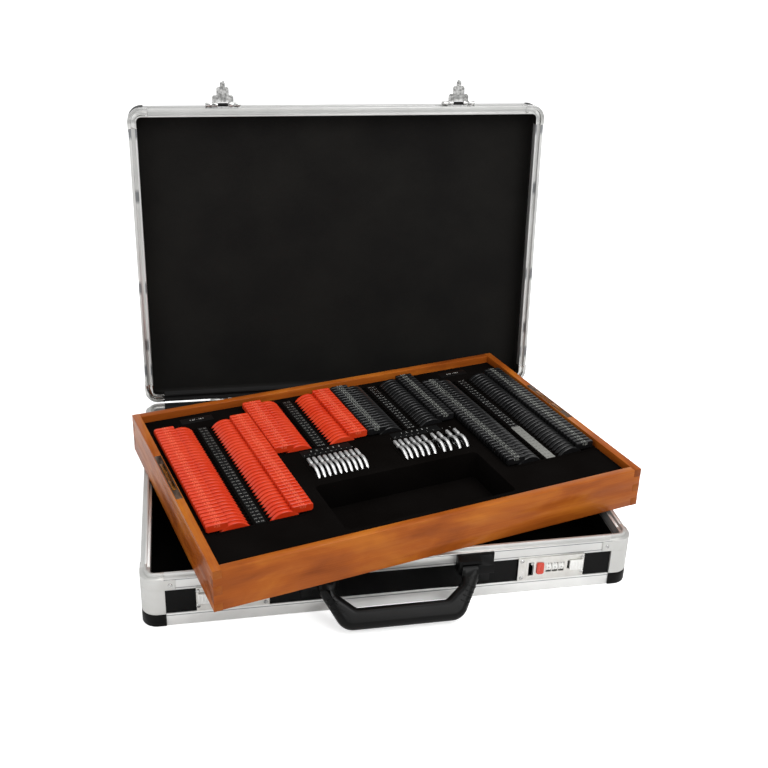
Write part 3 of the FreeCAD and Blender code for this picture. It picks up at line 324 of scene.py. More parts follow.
@dataclass(frozen=True)
class MouldedPlastic(Finish):
    """Injection-moulded ABS: one even colour with the tool's spark-eroded grain."""

    color: str = "#161616"
    light: str = "#222222"
    roughness: float = 0.42
    grain_mm: float = 0.9
    grain_depth_mm: float = 0.06
    coat: float = 0.0
    specular: float = 0.5

    def fill(self, tree: NodeTree, shader: Node, place: NodeSocket) -> None:
        """Adds mould grain and handling marks.

        Args:
            tree: the material's node tree.
            shader: its Principled shader.
            place: Object coordinates, in metres.
        """
        cloud = add_node(tree, "TexNoise", grit(30.0, 4.0), {"Vector": place}).outputs["Fac"]
        tones = [(0.35, self.color), (0.8, self.light)]
        add_node(tree, "ValToRGB", None, {"Fac": cloud}, shader.inputs["Base Color"], tones)
        handled = ends((0.3, 0.75), (self.roughness - 0.06, self.roughness + 0.1))
        add_node(tree, "MapRange", handled, {"Value": cloud}, shader.inputs["Roughness"])
        set_values(shader, {"IOR": 1.5, "Specular IOR Level": self.specular})
        set_values(shader, {"Coat Weight": self.coat, "Coat Roughness": 0.12})
        # Grain of the mould, drawn three to five times as coarse as the real one of about 0.3 mm.
        grain = add_node(
            tree, "TexVoronoi", {"Scale": 1000.0 / self.grain_mm}, {"Vector": place}, feature="SMOOTH_F1"
        ).outputs["Distance"]
        add_node(tree, "Bump", depth(self.grain_depth_mm, 0.5), {"Height": grain}, shader.inputs["Normal"])


@dataclass(frozen=True)
class FlockedCloth(Finish):
    """Short-napped flock on foam or board: it drinks the light, with cloudy brushed patches."""

    color: str = "#0B0A0A"
    light: str = "#1A1716"
    nap_mm: float = 0.8
    sheen: float = 0.12
    specular: float = 0.15

    def fill(self, tree: NodeTree, shader: Node, place: NodeSocket) -> None:
        """Adds the nap and the brushed patches.

        Args:
            tree: the material's node tree.
            shader: its Principled shader.
            place: Object coordinates, in metres.
        """
        patch = add_node(tree, "TexNoise", grit(70.0, 3.0), {"Vector": place}).outputs["Fac"]
        nap = add_node(tree, "TexNoise", grit(self.nap_mm, 2.0), {"Vector": place}).outputs["Fac"]
        mixed = add_node(tree, "Math", {1: 0.5}, {0: nap, 2: patch}, operation="MULTIPLY_ADD").outputs[0]
        tones = [(0.55, self.color), (0.95, self.light)]
        add_node(tree, "ValToRGB", None, {"Fac": mixed}, shader.inputs["Base Color"], tones)
        set_values(shader, {"Roughness": 0.95, "Specular IOR Level": self.specular})
        set_values(shader, {"Sheen Weight": self.sheen, "Sheen Roughness": 0.6})
        add_node(tree, "Bump", depth(0.25, 0.6), {"Height": nap}, shader.inputs["Normal"])


@dataclass(frozen=True)
class LacqueredWood(Finish):
    """Stained hardwood board under clear lacquer.

    The grain runs along the board, the stain pools into darker clouds, and cut ends drink more stain.
    """

    along: Axis = Axis.X
    dark: str = "#7F3C10"
    middle: str = "#9E5118"
    light: str = "#B96C22"
    cut_end: str = "#5E2A0E"

    def fill(self, tree: NodeTree, shader: Node, place: NodeSocket) -> None:
        """Adds stain clouds, grain streaks, pores and dark end grain.

        Args:
            tree: the material's node tree.
            shader: its Principled shader.
            place: Object coordinates, in metres.
        """
        turn = (0.0, 0.0, math.radians(-TRAY_YAW))
        board = add_node(tree, "Mapping", {"Rotation": turn}, {"Vector": place}).outputs["Vector"]
        # Stain clouds are about 90 mm long and 30 mm wide; grain streaks 60 mm by 1.6 mm.
        cloud = self.drawn_out(tree, board, 33.0, 11.0, 5.0, 0.6)
        streak = self.drawn_out(tree, board, 620.0, 16.0, 4.0, 0.4)
        mixed = add_node(tree, "Math", {1: 0.2}, {0: streak, 2: cloud}, operation="MULTIPLY_ADD").outputs[0]
        tones = [(0.38, self.dark), (0.6, self.middle), (0.84, self.light)]
        stain = add_node(tree, "ValToRGB", links={"Fac": mixed}, stops=tones).outputs["Color"]
        facing = add_node(tree, "TexCoord").outputs["Normal"]
        turned = add_node(tree, "Mapping", {"Rotation": turn}, {"Vector": facing}, vector_type="NORMAL")
        split = add_node(tree, "SeparateXYZ", links={"Vector": turned.outputs[0]})
        size = add_node(tree, "Math", links={0: split.outputs[self.along.value]}, operation="ABSOLUTE").outputs[0]
        end = add_node(tree, "MapRange", ends((0.75, 0.95), (0.0, 0.35)), {"Value": size}).outputs["Result"]
        both = add_node(tree, "Mix", {7: linear(self.cut_end)}, {"Factor": end, 6: stain}, data_type="RGBA")
        tree.links.new(both.outputs[2], shader.inputs["Base Color"])
        polished = ends((0.3, 0.7), (0.42, 0.3))
        add_node(tree, "MapRange", polished, {"Value": streak}, shader.inputs["Roughness"])
        set_values(shader, {"Specular IOR Level": 0.08, "Coat Weight": 0.14, "Coat Roughness": 0.08})
        add_node(tree, "Bump", depth(0.03, 0.15), {"Height": streak}, shader.inputs["Normal"])

    def drawn_out(
        self,
        tree: NodeTree,
        board: NodeSocket,
        across: float,
        along: float,
        detail: float,
        distortion: float,
    ) -> NodeSocket:
        """A pattern that is drawn out along the grain.

        Args:
            tree: the material's node tree.
            board: coordinates that lie square to the board.
            across: features per metre across the grain.
            along: features per metre along it.
            detail: number of finer layers.
            distortion: how much it wavers.

        Returns:
            The pattern, from 0 to 1.
        """
        stretch = [across, across, across]
        stretch[self.along.value] = along
        spot = add_node(tree, "Mapping", {"Scale": tuple(stretch)}, {"Vector": board}).outputs[0]
        values = {"Scale": 1.0, "Detail": detail, "Distortion": distortion}
        return add_node(tree, "TexNoise", values, {"Vector": spot}).outputs["Fac"]


@dataclass(frozen=True)
class LensGlass(Finish):
    """Ground and coated optical glass, clear with faint dust."""

    color: str = "#EEF4F2"

    def fill(self, tree: NodeTree, shader: Node, place: NodeSocket) -> None:
        """Adds the clear body and the dust on it.

        Args:
            tree: the material's node tree.
            shader: its Principled shader.
            place: Object coordinates, in metres.
        """
        set_values(shader, {"Base Color": linear(self.color), "Transmission Weight": 1.0, "IOR": 1.52})
        dust = add_node(tree, "TexNoise", grit(4.0, 5.0), {"Vector": place}).outputs["Fac"]
        dusty = ends((0.45, 0.75), (0.02, 0.16))
        add_node(tree, "MapRange", dusty, {"Value": dust}, shader.inputs["Roughness"])


@dataclass(frozen=True)
class PrintedInk(Finish):
    """Screen-printed ink, matte, with slightly uneven cover."""

    color: str = "#E4E4E0"
    thin: str = "#BDBDB8"

    def fill(self, tree: NodeTree, shader: Node, place: NodeSocket) -> None:
        """Adds the uneven cover.

        Args:
            tree: the material's node tree.
            shader: its Principled shader.
            place: Object coordinates, in metres.
        """
        cover = add_node(tree, "TexNoise", grit(1.2, 3.0), {"Vector": place}).outputs["Fac"]
        tones = [(0.35, self.color), (0.8, self.thin)]
        add_node(tree, "ValToRGB", None, {"Fac": cover}, shader.inputs["Base Color"], tones)
        set_values(shader, {"Roughness": 0.6})


class Shelf:
    """Keeps each material once it is made."""

    def __init__(self) -> None:
        """Starts empty."""
        self.made: dict[str, Material] = {}

    def get(self, finish: Finish) -> Material:
        """The material of a finish, made on its first use."""
        if finish.name not in self.made:
            self.made[finish.name] = finish.build()
        return self.made[finish.name]


SHELF = Shelf()

# The lower rails are a lit copy of the aluminium, with painted reflection of the floor; the other rails are darker
# copies of it.
BASE_RAIL = AnodisedAluminium("satin anodised aluminium, base rail", across=Axis.Z, grooves_mm=(12.6,))
UPPER_RAIL = AnodisedAluminium(
    "satin anodised aluminium, base's upper rail",
    color="#DCDCDA",
    shade="#CCCCCA",
    across=Axis.Z,
    grooves_mm=(56.7, 46.6),
    # The rear rail on the hinge side gets a band of painted shade, given by y in millimetres.
    tape=(Axis.Y, 178.0, 193.5),
)
LID_RAIL = AnodisedAluminium(
    "satin anodised aluminium, lid rail",
    color="#D8D8D6",
    shade="#C9C9C7",
    across=Axis.Y,
    grooves_mm=(199.8, 206.6, 218.4),
)
# The lid's rim gets a band of painted shade on its hinge side, given by height in millimetres.
LID_RIM = replace(LID_RAIL, name="satin anodised aluminium, lid's rim", tape=(Axis.Z, 20.0, 78.0))
POST = AnodisedAluminium("satin anodised aluminium, corner post", color="#CDCDCA", shade="#C2C2BF", roughness=0.36)
CHROME = PlatedMetal("bright chrome plate on steel", color="#DCDCDA", worn="#A4A4A2")
# On the hasps the second tone is near black: painted reflection of dark surroundings in small patches, for the
# chrome's contrast.
HASP_CHROME = PlatedMetal("bright chrome plate, hasps", color="#DEDEDC", worn="#3E3E3D", roughness=0.1, smear_mm=3.2)
NICKEL = PlatedMetal("satin nickel plate on zinc", color="#DBDAD6", worn="#CCCAC5", roughness=0.26)
KNOB_NICKEL = PlatedMetal(
    "polished nickel plate, thumb slide", color="#F0F0ED", worn="#E2E2DF", roughness=0.3, metallic=0.3
)
WHEEL_WHITE = PlatedMetal("white enamel, number wheel", color="#EDEDEA", worn="#DADAD6", roughness=0.3, metallic=0.1)
BAIL_STEEL = PlatedMetal("tarnished nickel plate, bail plate", color="#7C6656", worn="#54433A", roughness=0.3)
BRASS = PlatedMetal("polished brass", color="#B0702E", worn="#7A4A20", roughness=0.22)
SILVER_RIM = PlatedMetal(
    "satin nickel plate, lens rim", color="#D9D9D8", worn="#C2C3C3", roughness=0.3, metallic=0.55
)
BLACK_ABS = MouldedPlastic("black grained ABS", color="#070707", light="#0C0C0C", roughness=0.36, specular=0.1)
SPRING_STEEL = MouldedPlastic("blackened spring steel", color="#060606", light="#101010", roughness=0.4, specular=0.2)
HANDLE_ABS = MouldedPlastic(
    "black satin ABS, handle", color="#080808", light="#0E0E0D", roughness=0.34, grain_depth_mm=0.03, specular=0.14
)
LAMINATE = MouldedPlastic(
    "black laminate board",
    color="#070707",
    light="#0C0C0C",
    roughness=0.36,
    grain_mm=1.6,
    grain_depth_mm=0.02,
    specular=0.1,
)
RED_ABS = MouldedPlastic(
    "red gloss ABS, button", color="#C4301C", light="#CF4128", roughness=0.22, grain_depth_mm=0.0, coat=0.15
)
RED_RIM = MouldedPlastic(
    "orange-red gloss ABS, lens rim",
    color="#D33513",
    light="#DD441E",
    roughness=0.34,
    grain_depth_mm=0.01,
    specular=0.35,
)
BLACK_RIM = MouldedPlastic(
    "black gloss ABS, lens rim", color="#111112", light="#1A1A1B", roughness=0.3, grain_depth_mm=0.01, specular=0.4
)
LID_CLOTH = FlockedCloth("black flocked lid lining", color="#0E0D0C", light="#161513", sheen=0.03)
BASE_CLOTH = FlockedCloth("black flocked base lining", color="#090808", light="#100E0D", sheen=0.0, specular=0.05)
FOAM = FlockedCloth("black flocked foam", color="#080605", light="#0E0C0B", sheen=0.0, specular=0.02)
CARD_BLACK = MouldedPlastic("black printed card", color="#080808", light="#0D0D0D", roughness=0.6, specular=0.1)
CARD_WHITE = PrintedInk("grey printed card", color="#82827E", thin="#74746F")
WHITE_INK = PrintedInk("pale screen ink", color="#C9C9C5", thin="#9C9C98")
BLACK_INK = PrintedInk("black screen ink", color="#121212", thin="#222222")
PALE_RED_INK = PrintedInk("pale ink on red rims", color="#FF8C66", thin="#EE5E38")
GREY_INK = PrintedInk("grey ink on black rims", color="#B8BBB4", thin="#85887F")
WOOD_X = LacqueredWood("lacquered beech, long board", along=Axis.X)
WOOD_Y = LacqueredWood("lacquered beech, side board", along=Axis.Y)
GLASS = LensGlass("coated lens glass")


def deselect() -> None:
    """Leaves nothing selected."""
    if bpy.context.object and bpy.context.object.mode != "OBJECT":
        bpy.ops.object.mode_set(mode="OBJECT")
    bpy.ops.object.select_all(action="DESELECT")


def add_object(name: str, data: Any) -> Object:
    """A new object in the scene.

    Args:
        name: its name.
        data: its mesh, lamp or camera.

    Returns:
        The object.
    """
    made = bpy.data.objects.new(name, data)
    bpy.context.scene.collection.objects.link(made)
    return made


def pick(objects: Iterable[Object]) -> None:
    """Selects these objects alone, the last of them active."""
    deselect()
    for piece in objects:
        piece.select_set(True)
        bpy.context.view_layer.objects.active = piece


def join(objects: Sequence[Object]) -> Object:
    """Joins objects into the last one, with their places in the mesh.

    Args:
        objects: the objects, each with its own mesh.

    Returns:
        The joined object.
    """
    pick(objects)
    bpy.ops.object.transform_apply()
    if len(objects) > 1:
        bpy.ops.object.join()
    return bpy.context.view_layer.objects.active


def modify(piece: Object, kind: str, **settings: Any) -> None:
    """Adds a modifier and applies it at once.

    Args:
        piece: the object.
        kind: the modifier's type.
        **settings: its properties.
    """
    pick([piece])
    modifier = piece.modifiers.new(kind.title(), kind)
    for name, value in settings.items():
        setattr(modifier, name, value)
    bpy.ops.object.modifier_apply(modifier=modifier.name)


def edit(piece: Object, chosen: Callable[[MeshPolygon], bool] | None = None) -> None:
    """Goes into edit mode on a piece with some faces selected.

    Args:
        piece: the object.
        chosen: says which faces are selected; all of them if left out.
    """
    pick([piece])
    bpy.ops.object.mode_set(mode="EDIT")
    bpy.ops.mesh.select_mode(type="FACE")
    bpy.ops.mesh.select_all(action="SELECT" if chosen is None else "DESELECT")
    if chosen is not None:
        bpy.ops.object.mode_set(mode="OBJECT")
        for face in piece.data.polygons:
            face.select = chosen(face)
        bpy.ops.object.mode_set(mode="EDIT")


def soften(piece: Object, width_mm: float, segments: int = 2, angle: float = 50.0) -> None:
    """Softens a piece's sharp edges.

    Args:
        piece: the object.
        width_mm: width of the softened edges.
        segments: their number of steps.
        angle: the least angle between faces that counts as sharp, in degrees.
    """
    limit = {"limit_method": "ANGLE", "angle_limit": math.radians(angle)}
    modify(piece, "BEVEL", width=width_mm * MM, segments=segments, **limit)


def round_edges(piece: Object, chosen: Sequence[int], width_mm: float, segments: int) -> None:
    """Rounds some edges of a piece with the edit-mode bevel.

    Args:
        piece: the object.
        chosen: the edges' indices.
        width_mm: how far the rounding reaches.
        segments: its number of steps.
    """
    edit(piece, lambda face: False)
    bpy.ops.mesh.select_mode(type="EDGE")
    bpy.ops.object.mode_set(mode="OBJECT")
    for index in chosen:
        piece.data.edges[index].select = True
    bpy.ops.object.mode_set(mode="EDIT")
    bpy.ops.mesh.bevel(offset=width_mm * MM, segments=segments, affect="EDGES")
    bpy.ops.object.mode_set(mode="OBJECT")


def mend_normals(piece: Object, merge_mm: float = 0.005) -> None:
    """Merges doubled points and turns every face outwards.

    Args:
        piece: the object.
        merge_mm: points this close are doubled.
    """
    edit(piece)
    bpy.ops.mesh.remove_doubles(threshold=merge_mm * MM)
    bpy.ops.mesh.normals_make_consistent(inside=False)
    bpy.ops.object.mode_set(mode="OBJECT")


def cube(low: Sequence[float], high: Sequence[float]) -> Object:
    """A cube primitive between two corners given in millimetres.

    Args:
        low: lowest corner.
        high: highest corner.

    Returns:
        The cube, with its place in its mesh.
    """
    deselect()
    a, b = Vector(low) * MM, Vector(high) * MM
    bpy.ops.mesh.primitive_cube_add(size=1.0, location=(a + b) / 2)
    piece = bpy.context.object
    piece.scale = b - a
    bpy.ops.object.transform_apply()
    return piece


@dataclass
class Dressed:
    """How a finished piece is named, where it rides and what it stands for."""

    name: str
    body: str
    slot: str
    finish: Finish
    place: Matrix | None = None
    replaces: tuple[str, ...] = ()
    smooth_angle: float = 35.0

    def apply(self, piece: Object) -> Object:
        """Puts the piece in place, smooths it, gives it its material and hangs it on its body.

        Args:
            piece: the modelled object.

        Returns:
            The same object, finished.
        """
        if self.place is not None:
            piece.matrix_world = self.place @ piece.matrix_world
        pick([piece])
        bpy.ops.object.transform_apply()
        bpy.ops.object.shade_smooth_by_angle(angle=math.radians(self.smooth_angle), keep_sharp_edges=False)
        piece.name = self.name
        piece.data.materials.clear()
        piece.data.materials.append(SHELF.get(self.finish))
        if self.replaces:
            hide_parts(*self.replaces)
        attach(piece, self.body)
        LOG.info("made %s on %s, %d faces", self.name, self.body, len(piece.data.polygons))
        return piece


def body_of_node(node: str) -> str:
    """The body that a node of the frame rides on."""
    return str(frame["nodes"][node]["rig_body"])


def dress_node(node: str, finish: Finish) -> None:
    """Gives a node of the frame its material.

    Args:
        node: the node of the frame.
        finish: its finish.
    """
    mesh = frame["nodes"][node].data
    mesh.materials.clear()
    mesh.materials.append(SHELF.get(finish))
    LOG.info("dressed %s", node)


def recast(node: str, name: str, slot: str, finish: Finish, bevel_mm: float = 0.0) -> Object:
    """A copy of a node with merged points, softened edges and smooth curves, which stands for it.

    Args:
        node: the node of the frame.
        name: name of the new piece.
        slot: the record's material slot, which is not used.
        finish: its finish.
        bevel_mm: width of the softened edges; none if 0.

    Returns:
        The new piece.
    """
    deselect()
    piece = add_object(name, frame["nodes"][node].data.copy())
    edit(piece)
    bpy.ops.mesh.remove_doubles(threshold=CAD_MERGE_MM * MM)
    bpy.ops.mesh.dissolve_limited(angle_limit=math.radians(CAD_FLAT_ANGLE))
    bpy.ops.mesh.normals_make_consistent(inside=False)
    bpy.ops.object.mode_set(mode="OBJECT")
    if bevel_mm > 0:
        soften(piece, bevel_mm)
    return Dressed(name, body_of_node(node), slot, finish, replaces=(node,)).apply(piece)


@dataclass(frozen=True)
class LensRing:
    """A lens's rim: a flat ring with eased edges, which stands on its edge."""

    radius: float
    hole_r: float
    thick: float
    vertices: int
    ease: float
    steps: int

    def build(self, spot: Sequence[float], turn: Sequence[float]) -> Object:
        """Makes the ring.

        Args:
            spot: its centre, in mm.
            turn: its turn from lying flat, in degrees.

        Returns:
            The ring.
        """
        deselect()
        bpy.ops.mesh.primitive_cylinder_add(
            vertices=self.vertices,
            radius=self.radius * MM,
            depth=self.thick * MM,
            end_fill_type="NOTHING",
            location=Vector(spot) * MM,
            rotation=tuple(math.radians(angle) for angle in turn),
        )
        ring = bpy.context.object
        bpy.ops.object.transform_apply()
        mend_normals(ring)
        modify(ring, "SOLIDIFY", thickness=(self.radius - self.hole_r) * MM, offset=-1.0)
        soften(ring, self.ease, self.steps)
        return ring


class Lettering:
    """Small printed numbers, each made once as a mesh and then copied."""

    def __init__(self, size_mm: float, raised_mm: float = 0.05) -> None:
        """Starts with no numbers.

        Args:
            size_mm: height of the font.
            raised_mm: thickness of the print, half of it sunk in.
        """
        self.size = size_mm * MM
        self.raised = raised_mm * MM
        self.meshes: dict[str, Mesh] = {}

    def mesh(self, text: str) -> Mesh:
        """The mesh of one number, centred on its own origin and facing +Z."""
        if text not in self.meshes:
            deselect()
            bpy.ops.object.text_add()
            letters = bpy.context.object
            letters.data.body = text
            letters.data.size = self.size
            letters.data.extrude = self.raised / 2
            letters.data.align_x = "CENTER"
            letters.data.align_y = "CENTER"
            letters.data.resolution_u = 1
            bpy.ops.object.convert(target="MESH")
            made = bpy.context.object
            self.meshes[text] = made.data.copy()
            bpy.data.objects.remove(made)
        return self.meshes[text]

    def print_all(self, items: Iterable[tuple[str, Matrix]]) -> Object:
        """Places numbers and joins them.

        Args:
            items: each number with its place.

        Returns:
            One object with all the numbers.
        """
        placed = []
        for text, place in items:
            piece = add_object("number", self.mesh(text).copy())
            piece.matrix_world = place
            placed.append(piece)
        return join(placed)


def power(step: int) -> str:
    """The lens power printed at a place in a row, from the usual steps of a trial set.

    Args:
        step: the place in the row, from 0.

    Returns:
        The power's figures.
    """
    if step < 16:
        return "%.2f" % (0.25 * (step + 1))
    if step < 24:
        return "%.2f" % (4.0 + 0.5 * (step - 15))
    return "%.1f" % (8.0 + (step - 23))


@dataclass
class LensColumn:
    """A column of plastic-rim lenses that stand in the foam, one behind the other.

    The numbers stand face_print below the flag's top edge, and on that edge top_print towards the disc.
    """

    share: float
    side: int
    count: int
    front: float
    disc: LensRing = LensRing(LENS_R, 11.5, 4.5, 44, 0.6, 1)
    flag_from: float = 7.5
    flag_to: float = 0.0618 * TRAY_W
    flag_low: float = 13.6
    flag_high: float = 22.6
    flag_t: float = 4.3
    flag_round: float = 2.6
    face_print: float = 2.6
    top_print: float = 1.3
    sink: float = 12.3

    @property
    def x(self) -> float:
        """The discs' centre line, from its share of the tray's width."""
        return self.share * TRAY_W

    @property
    def centre_z(self) -> float:
        """Height of the discs' centres in the tray's frame."""
        return FOAM_TOP - self.sink

    def lens(self) -> Object:
        """The front lens's rim: a ring with eased edges and a rounded flag.

        Returns:
            The rim, in the tray's frame.
        """
        ring = self.disc.build((self.x, self.front, self.centre_z), (90.0, 0.0, 0.0))
        x0, x1 = sorted([self.x + self.side * self.flag_from, self.x + self.side * self.flag_to])
        y0, y1 = self.front - self.flag_t / 2, self.front + self.flag_t / 2
        flag = cube((x0, y0, self.centre_z + self.flag_low), (x1, y1, self.centre_z + self.flag_high))
        self.ease_end(flag, x0 if self.side < 0 else x1)
        soften(flag, 0.6, 1)
        return join([ring, flag])

    def ease_end(self, flag: Object, x: float) -> None:
        """Rounds the two corners at the flag's free end.

        Args:
            flag: the flag.
            x: where its free end stands, in mm.
        """
        edges = []
        for edge in flag.data.edges:
            a, b = (flag.data.vertices[i].co for i in edge.vertices)
            at_end = abs(a.x - x * MM) < 1e-5 and abs(b.x - x * MM) < 1e-5
            if at_end and abs(a.z - b.z) < 1e-6:
                edges.append(edge.index)
        round_edges(flag, edges, self.flag_round, 3)

    def build(self) -> Object:
        """The whole column.

        Returns:
            One object with every rim of the column.
        """
        first = self.lens()
        step = {"use_constant_offset": True, "constant_offset_displace": (0.0, LENS_PITCH * MM, 0.0)}
        modify(first, "ARRAY", count=self.count, use_relative_offset=False, **step)
        return first

    def flag_numbers(self) -> list[tuple[str, Matrix]]:
        """Numbers on the front of each flag and on its top edge.

        Returns:
            Each number with its place.
        """
        items = []
        x = self.x + self.side * (self.flag_from + self.flag_to) / 2
        edge = self.centre_z + self.flag_high
        for i in range(self.count):
            y = self.front + i * LENS_PITCH
            face = Vector((x, y - self.flag_t / 2, edge - self.face_print)) * MM
            top = Vector((x - self.side * self.top_print, y, edge + 0.01)) * MM
            items.append((power(i), Matrix.Translation(face) @ Matrix.Rotation(math.radians(90), 4, "X")))
            items.append((power(i), Matrix.Translation(top)))
        return items


@dataclass
class LensGroup:
    """Two columns of lenses of one colour that are lifted out together, with their flags outwards."""

    key: str
    shares: tuple[float, float]
    size: tuple[int, float]
    finish: Finish
    slot: str
    ink: Finish

    def build(self) -> None:
        """Makes the rims and the numbers on their flags, and dresses the glasses."""
        body = self.key + "_lenses"
        columns = [LensColumn(share, side, *self.size) for share, side in zip(self.shares, (-1, 1))]
        rims = join([column.build() for column in columns])
        stands_for = (self.key + "_rims",)
        Dressed(self.key + "_lens_rims", body, self.slot, self.finish, tray_place(), stands_for, 30.0).apply(rims)
        items = [item for column in columns for item in column.flag_numbers()]
        numbers = Lettering(4.2, 0.14).print_all(items)
        Dressed(self.key + "_flag_numbers", body, "card", self.ink, tray_place()).apply(numbers)
        dress_node(self.key + "_glasses", GLASS)


@dataclass
class MetalRow:
    """A row of metal-rim lenses side by side, each with a rounded tab at the back."""

    key: str
    xs: tuple[float, ...]
    y: float = METAL_Y
    sink: float = 14.0
    disc: LensRing = LensRing(LENS_R, 16.6, 3.5, 48, 0.55, 2)
    tab: tuple[float, float, float, float] = (9.0, 21.0, 14.6, 18.0)

    def lens(self, x: float) -> Object:
        """One rim with its tab.

        Args:
            x: its place along the row.

        Returns:
            The rim, in the tray's frame.
        """
        centre, half = FOAM_TOP - self.sink, self.disc.thick / 2
        ring = self.disc.build((x, self.y, centre), (0.0, 90.0, 0.0))
        y0, y1, z0, z1 = self.tab
        tab = cube((x - half, self.y + y0, centre + z0), (x + half, self.y + y1, centre + z1))
        soften(tab, 0.6)
        return join([ring, tab])

    def build(self) -> None:
        """Makes the row's rims and dresses its glasses."""
        rims = join([self.lens(x) for x in self.xs])
        name, body, stands_for = self.key + "_lens_rims", self.key + "_lenses", (self.key + "_rims",)
        Dressed(name, body, "metal_rim", SILVER_RIM, tray_place(), stands_for, 30.0).apply(rims)
        dress_node(self.key + "_glasses", GLASS)


@dataclass
class NumberCards:
    """The printed cards between the columns, which say the power of each lens."""

    black: tuple[tuple[float, float, float, float], ...] = (
        (LONG_CARDS[0], 0.0219, -97.0, 124.0),
        (HALF_CARDS[0], 0.0219, 28.0, 151.0),
        (HALF_CARDS[1], 0.0219, 28.0, 151.0),
        (LONG_CARDS[1], 0.0219, -15.0, 124.0),
        (ROW_CARDS[0], 0.1235, 10.5, 24.5),
        (ROW_CARDS[1], 0.1275, 10.5, 24.5),
        (LONG_CARDS[0], 0.0797, 139.0, 152.0),
        (LONG_CARDS[1], 0.0797, 139.0, 152.0),
    )
    white: tuple[float, float, float, float] = (LONG_CARDS[1], 0.0239, -97.0, -17.0)
    number_gap: float = 2.6

    def card(self, spot: tuple[float, float, float, float]) -> Object:
        """One card with softened edges.

        Args:
            spot: centre and width as shares of the tray's width, y from and y to.

        Returns:
            The card, in the tray's frame.
        """
        x, width, y0, y1 = spot[0] * TRAY_W, spot[1] * TRAY_W, spot[2], spot[3]
        piece = cube((x - width / 2, y0, FOAM_TOP), (x + width / 2, y1, FOAM_TOP + CARD_T))
        soften(piece, 0.12)
        return piece

    def on_card(self, x: float, y: float) -> Matrix:
        """A place on the cards' upper faces."""
        return Matrix.Translation(Vector((x, y, FOAM_TOP + CARD_T + 0.02)) * MM)

    def numbers(self) -> tuple[list[tuple[str, Matrix]], list[tuple[str, Matrix]]]:
        """The small numbers printed in pale ink on black cards, and in black on the grey one.

        Returns:
            The pale numbers and the dark ones, each with its place.
        """
        pale, dark = [], []
        columns = [(share, *LONG) for share in LONG_CARDS] + [(share, *HALF) for share in HALF_CARDS]
        for share, count, front in columns:
            for i in range(count):
                y = front + i * LENS_PITCH
                into = dark if share == self.white[0] and y < self.white[3] else pale
                for offset in (-self.number_gap, self.number_gap):
                    into.append((power(i), self.on_card(share * TRAY_W + offset, y)))
        for xs in (CYLINDER_XS, PRISM_XS):
            for i, x in enumerate(xs):
                pale.append((str(i + 1), self.on_card(x, 13.5)))
        return pale, dark

    def headings(self) -> list[tuple[str, Matrix]]:
        """The larger figures over the rows and behind the long columns.

        Returns:
            Each text with its place.
        """
        items = []
        for share in ROW_CARDS:
            for i in range(6):
                items.append((str(i + 1), self.on_card(share * TRAY_W + (i - 2.5) * 7.0, 20.5)))
        for share in LONG_CARDS:
            items.append(("0.25 - 18.0", self.on_card(share * TRAY_W, 146.0)))
        return items

    def build(self) -> None:
        """Makes the cards and their print."""
        place = tray_place()
        cards = join([self.card(spot) for spot in self.black])
        Dressed("number_cards_black", "tray", "card", CARD_BLACK, place, ("label_cards",)).apply(cards)
        Dressed("number_card_white", "tray", "card", CARD_WHITE, place).apply(join([self.card(self.white)]))
        pale, dark = self.numbers()
        letters = Lettering(2.1)
        Dressed("card_numbers_white", "tray", "card", WHITE_INK, place).apply(letters.print_all(pale))
        Dressed("card_numbers_black", "tray", "card", BLACK_INK, place).apply(letters.print_all(dark))
        large = Lettering(4.2).print_all(self.headings())
        Dressed("card_headings", "tray", "card", WHITE_INK, place).apply(large)


@dataclass
class Tray:
    """The wooden tray with its foam and everything that stands in it."""

    groups: tuple[LensGroup, ...] = (
        LensGroup("red_long", (-0.4084, -0.2998), LONG, RED_RIM, "red_rim", PALE_RED_INK),
        LensGroup("red_half", (-0.1743, -0.0647), HALF, RED_RIM, "red_rim", PALE_RED_INK),
        LensGroup("black_half", (0.0608, 0.1713), HALF, BLACK_RIM, "black_rim", GREY_INK),
        LensGroup("black_long", (0.2988, 0.4114), LONG, BLACK_RIM, "black_rim", GREY_INK),
    )
    rows: tuple[MetalRow, ...] = (
        MetalRow("cylinder_row", CYLINDER_XS),
        MetalRow("prism_row", PRISM_XS),
    )

    def build(self) -> None:
        """Makes the boards, foam, cards and lenses."""
        for side, wood in (("front", WOOD_X), ("rear", WOOD_X), ("left", WOOD_Y), ("right", WOOD_Y)):
            board = "tray_%s_board" % side
            recast(board, board + "_lacquered", "tray_wood", wood, 0.5)
        dress_node("tray_bottom", FOAM)
        recast("foam_insert", "foam_insert_flocked", "foam", FOAM, 0.6)
        dress_node("lens_racks", FOAM)
        recast("bail_plates", "bail_plates_plated", "nickel", BAIL_STEEL, 0.15)
        for bail in ("left_bail", "right_bail"):
            recast(bail, bail + "_brass", "brass", BRASS, 0.15)
        NumberCards().build()
        for group in self.groups:
            group.build()
        for row in self.rows:
            row.build()


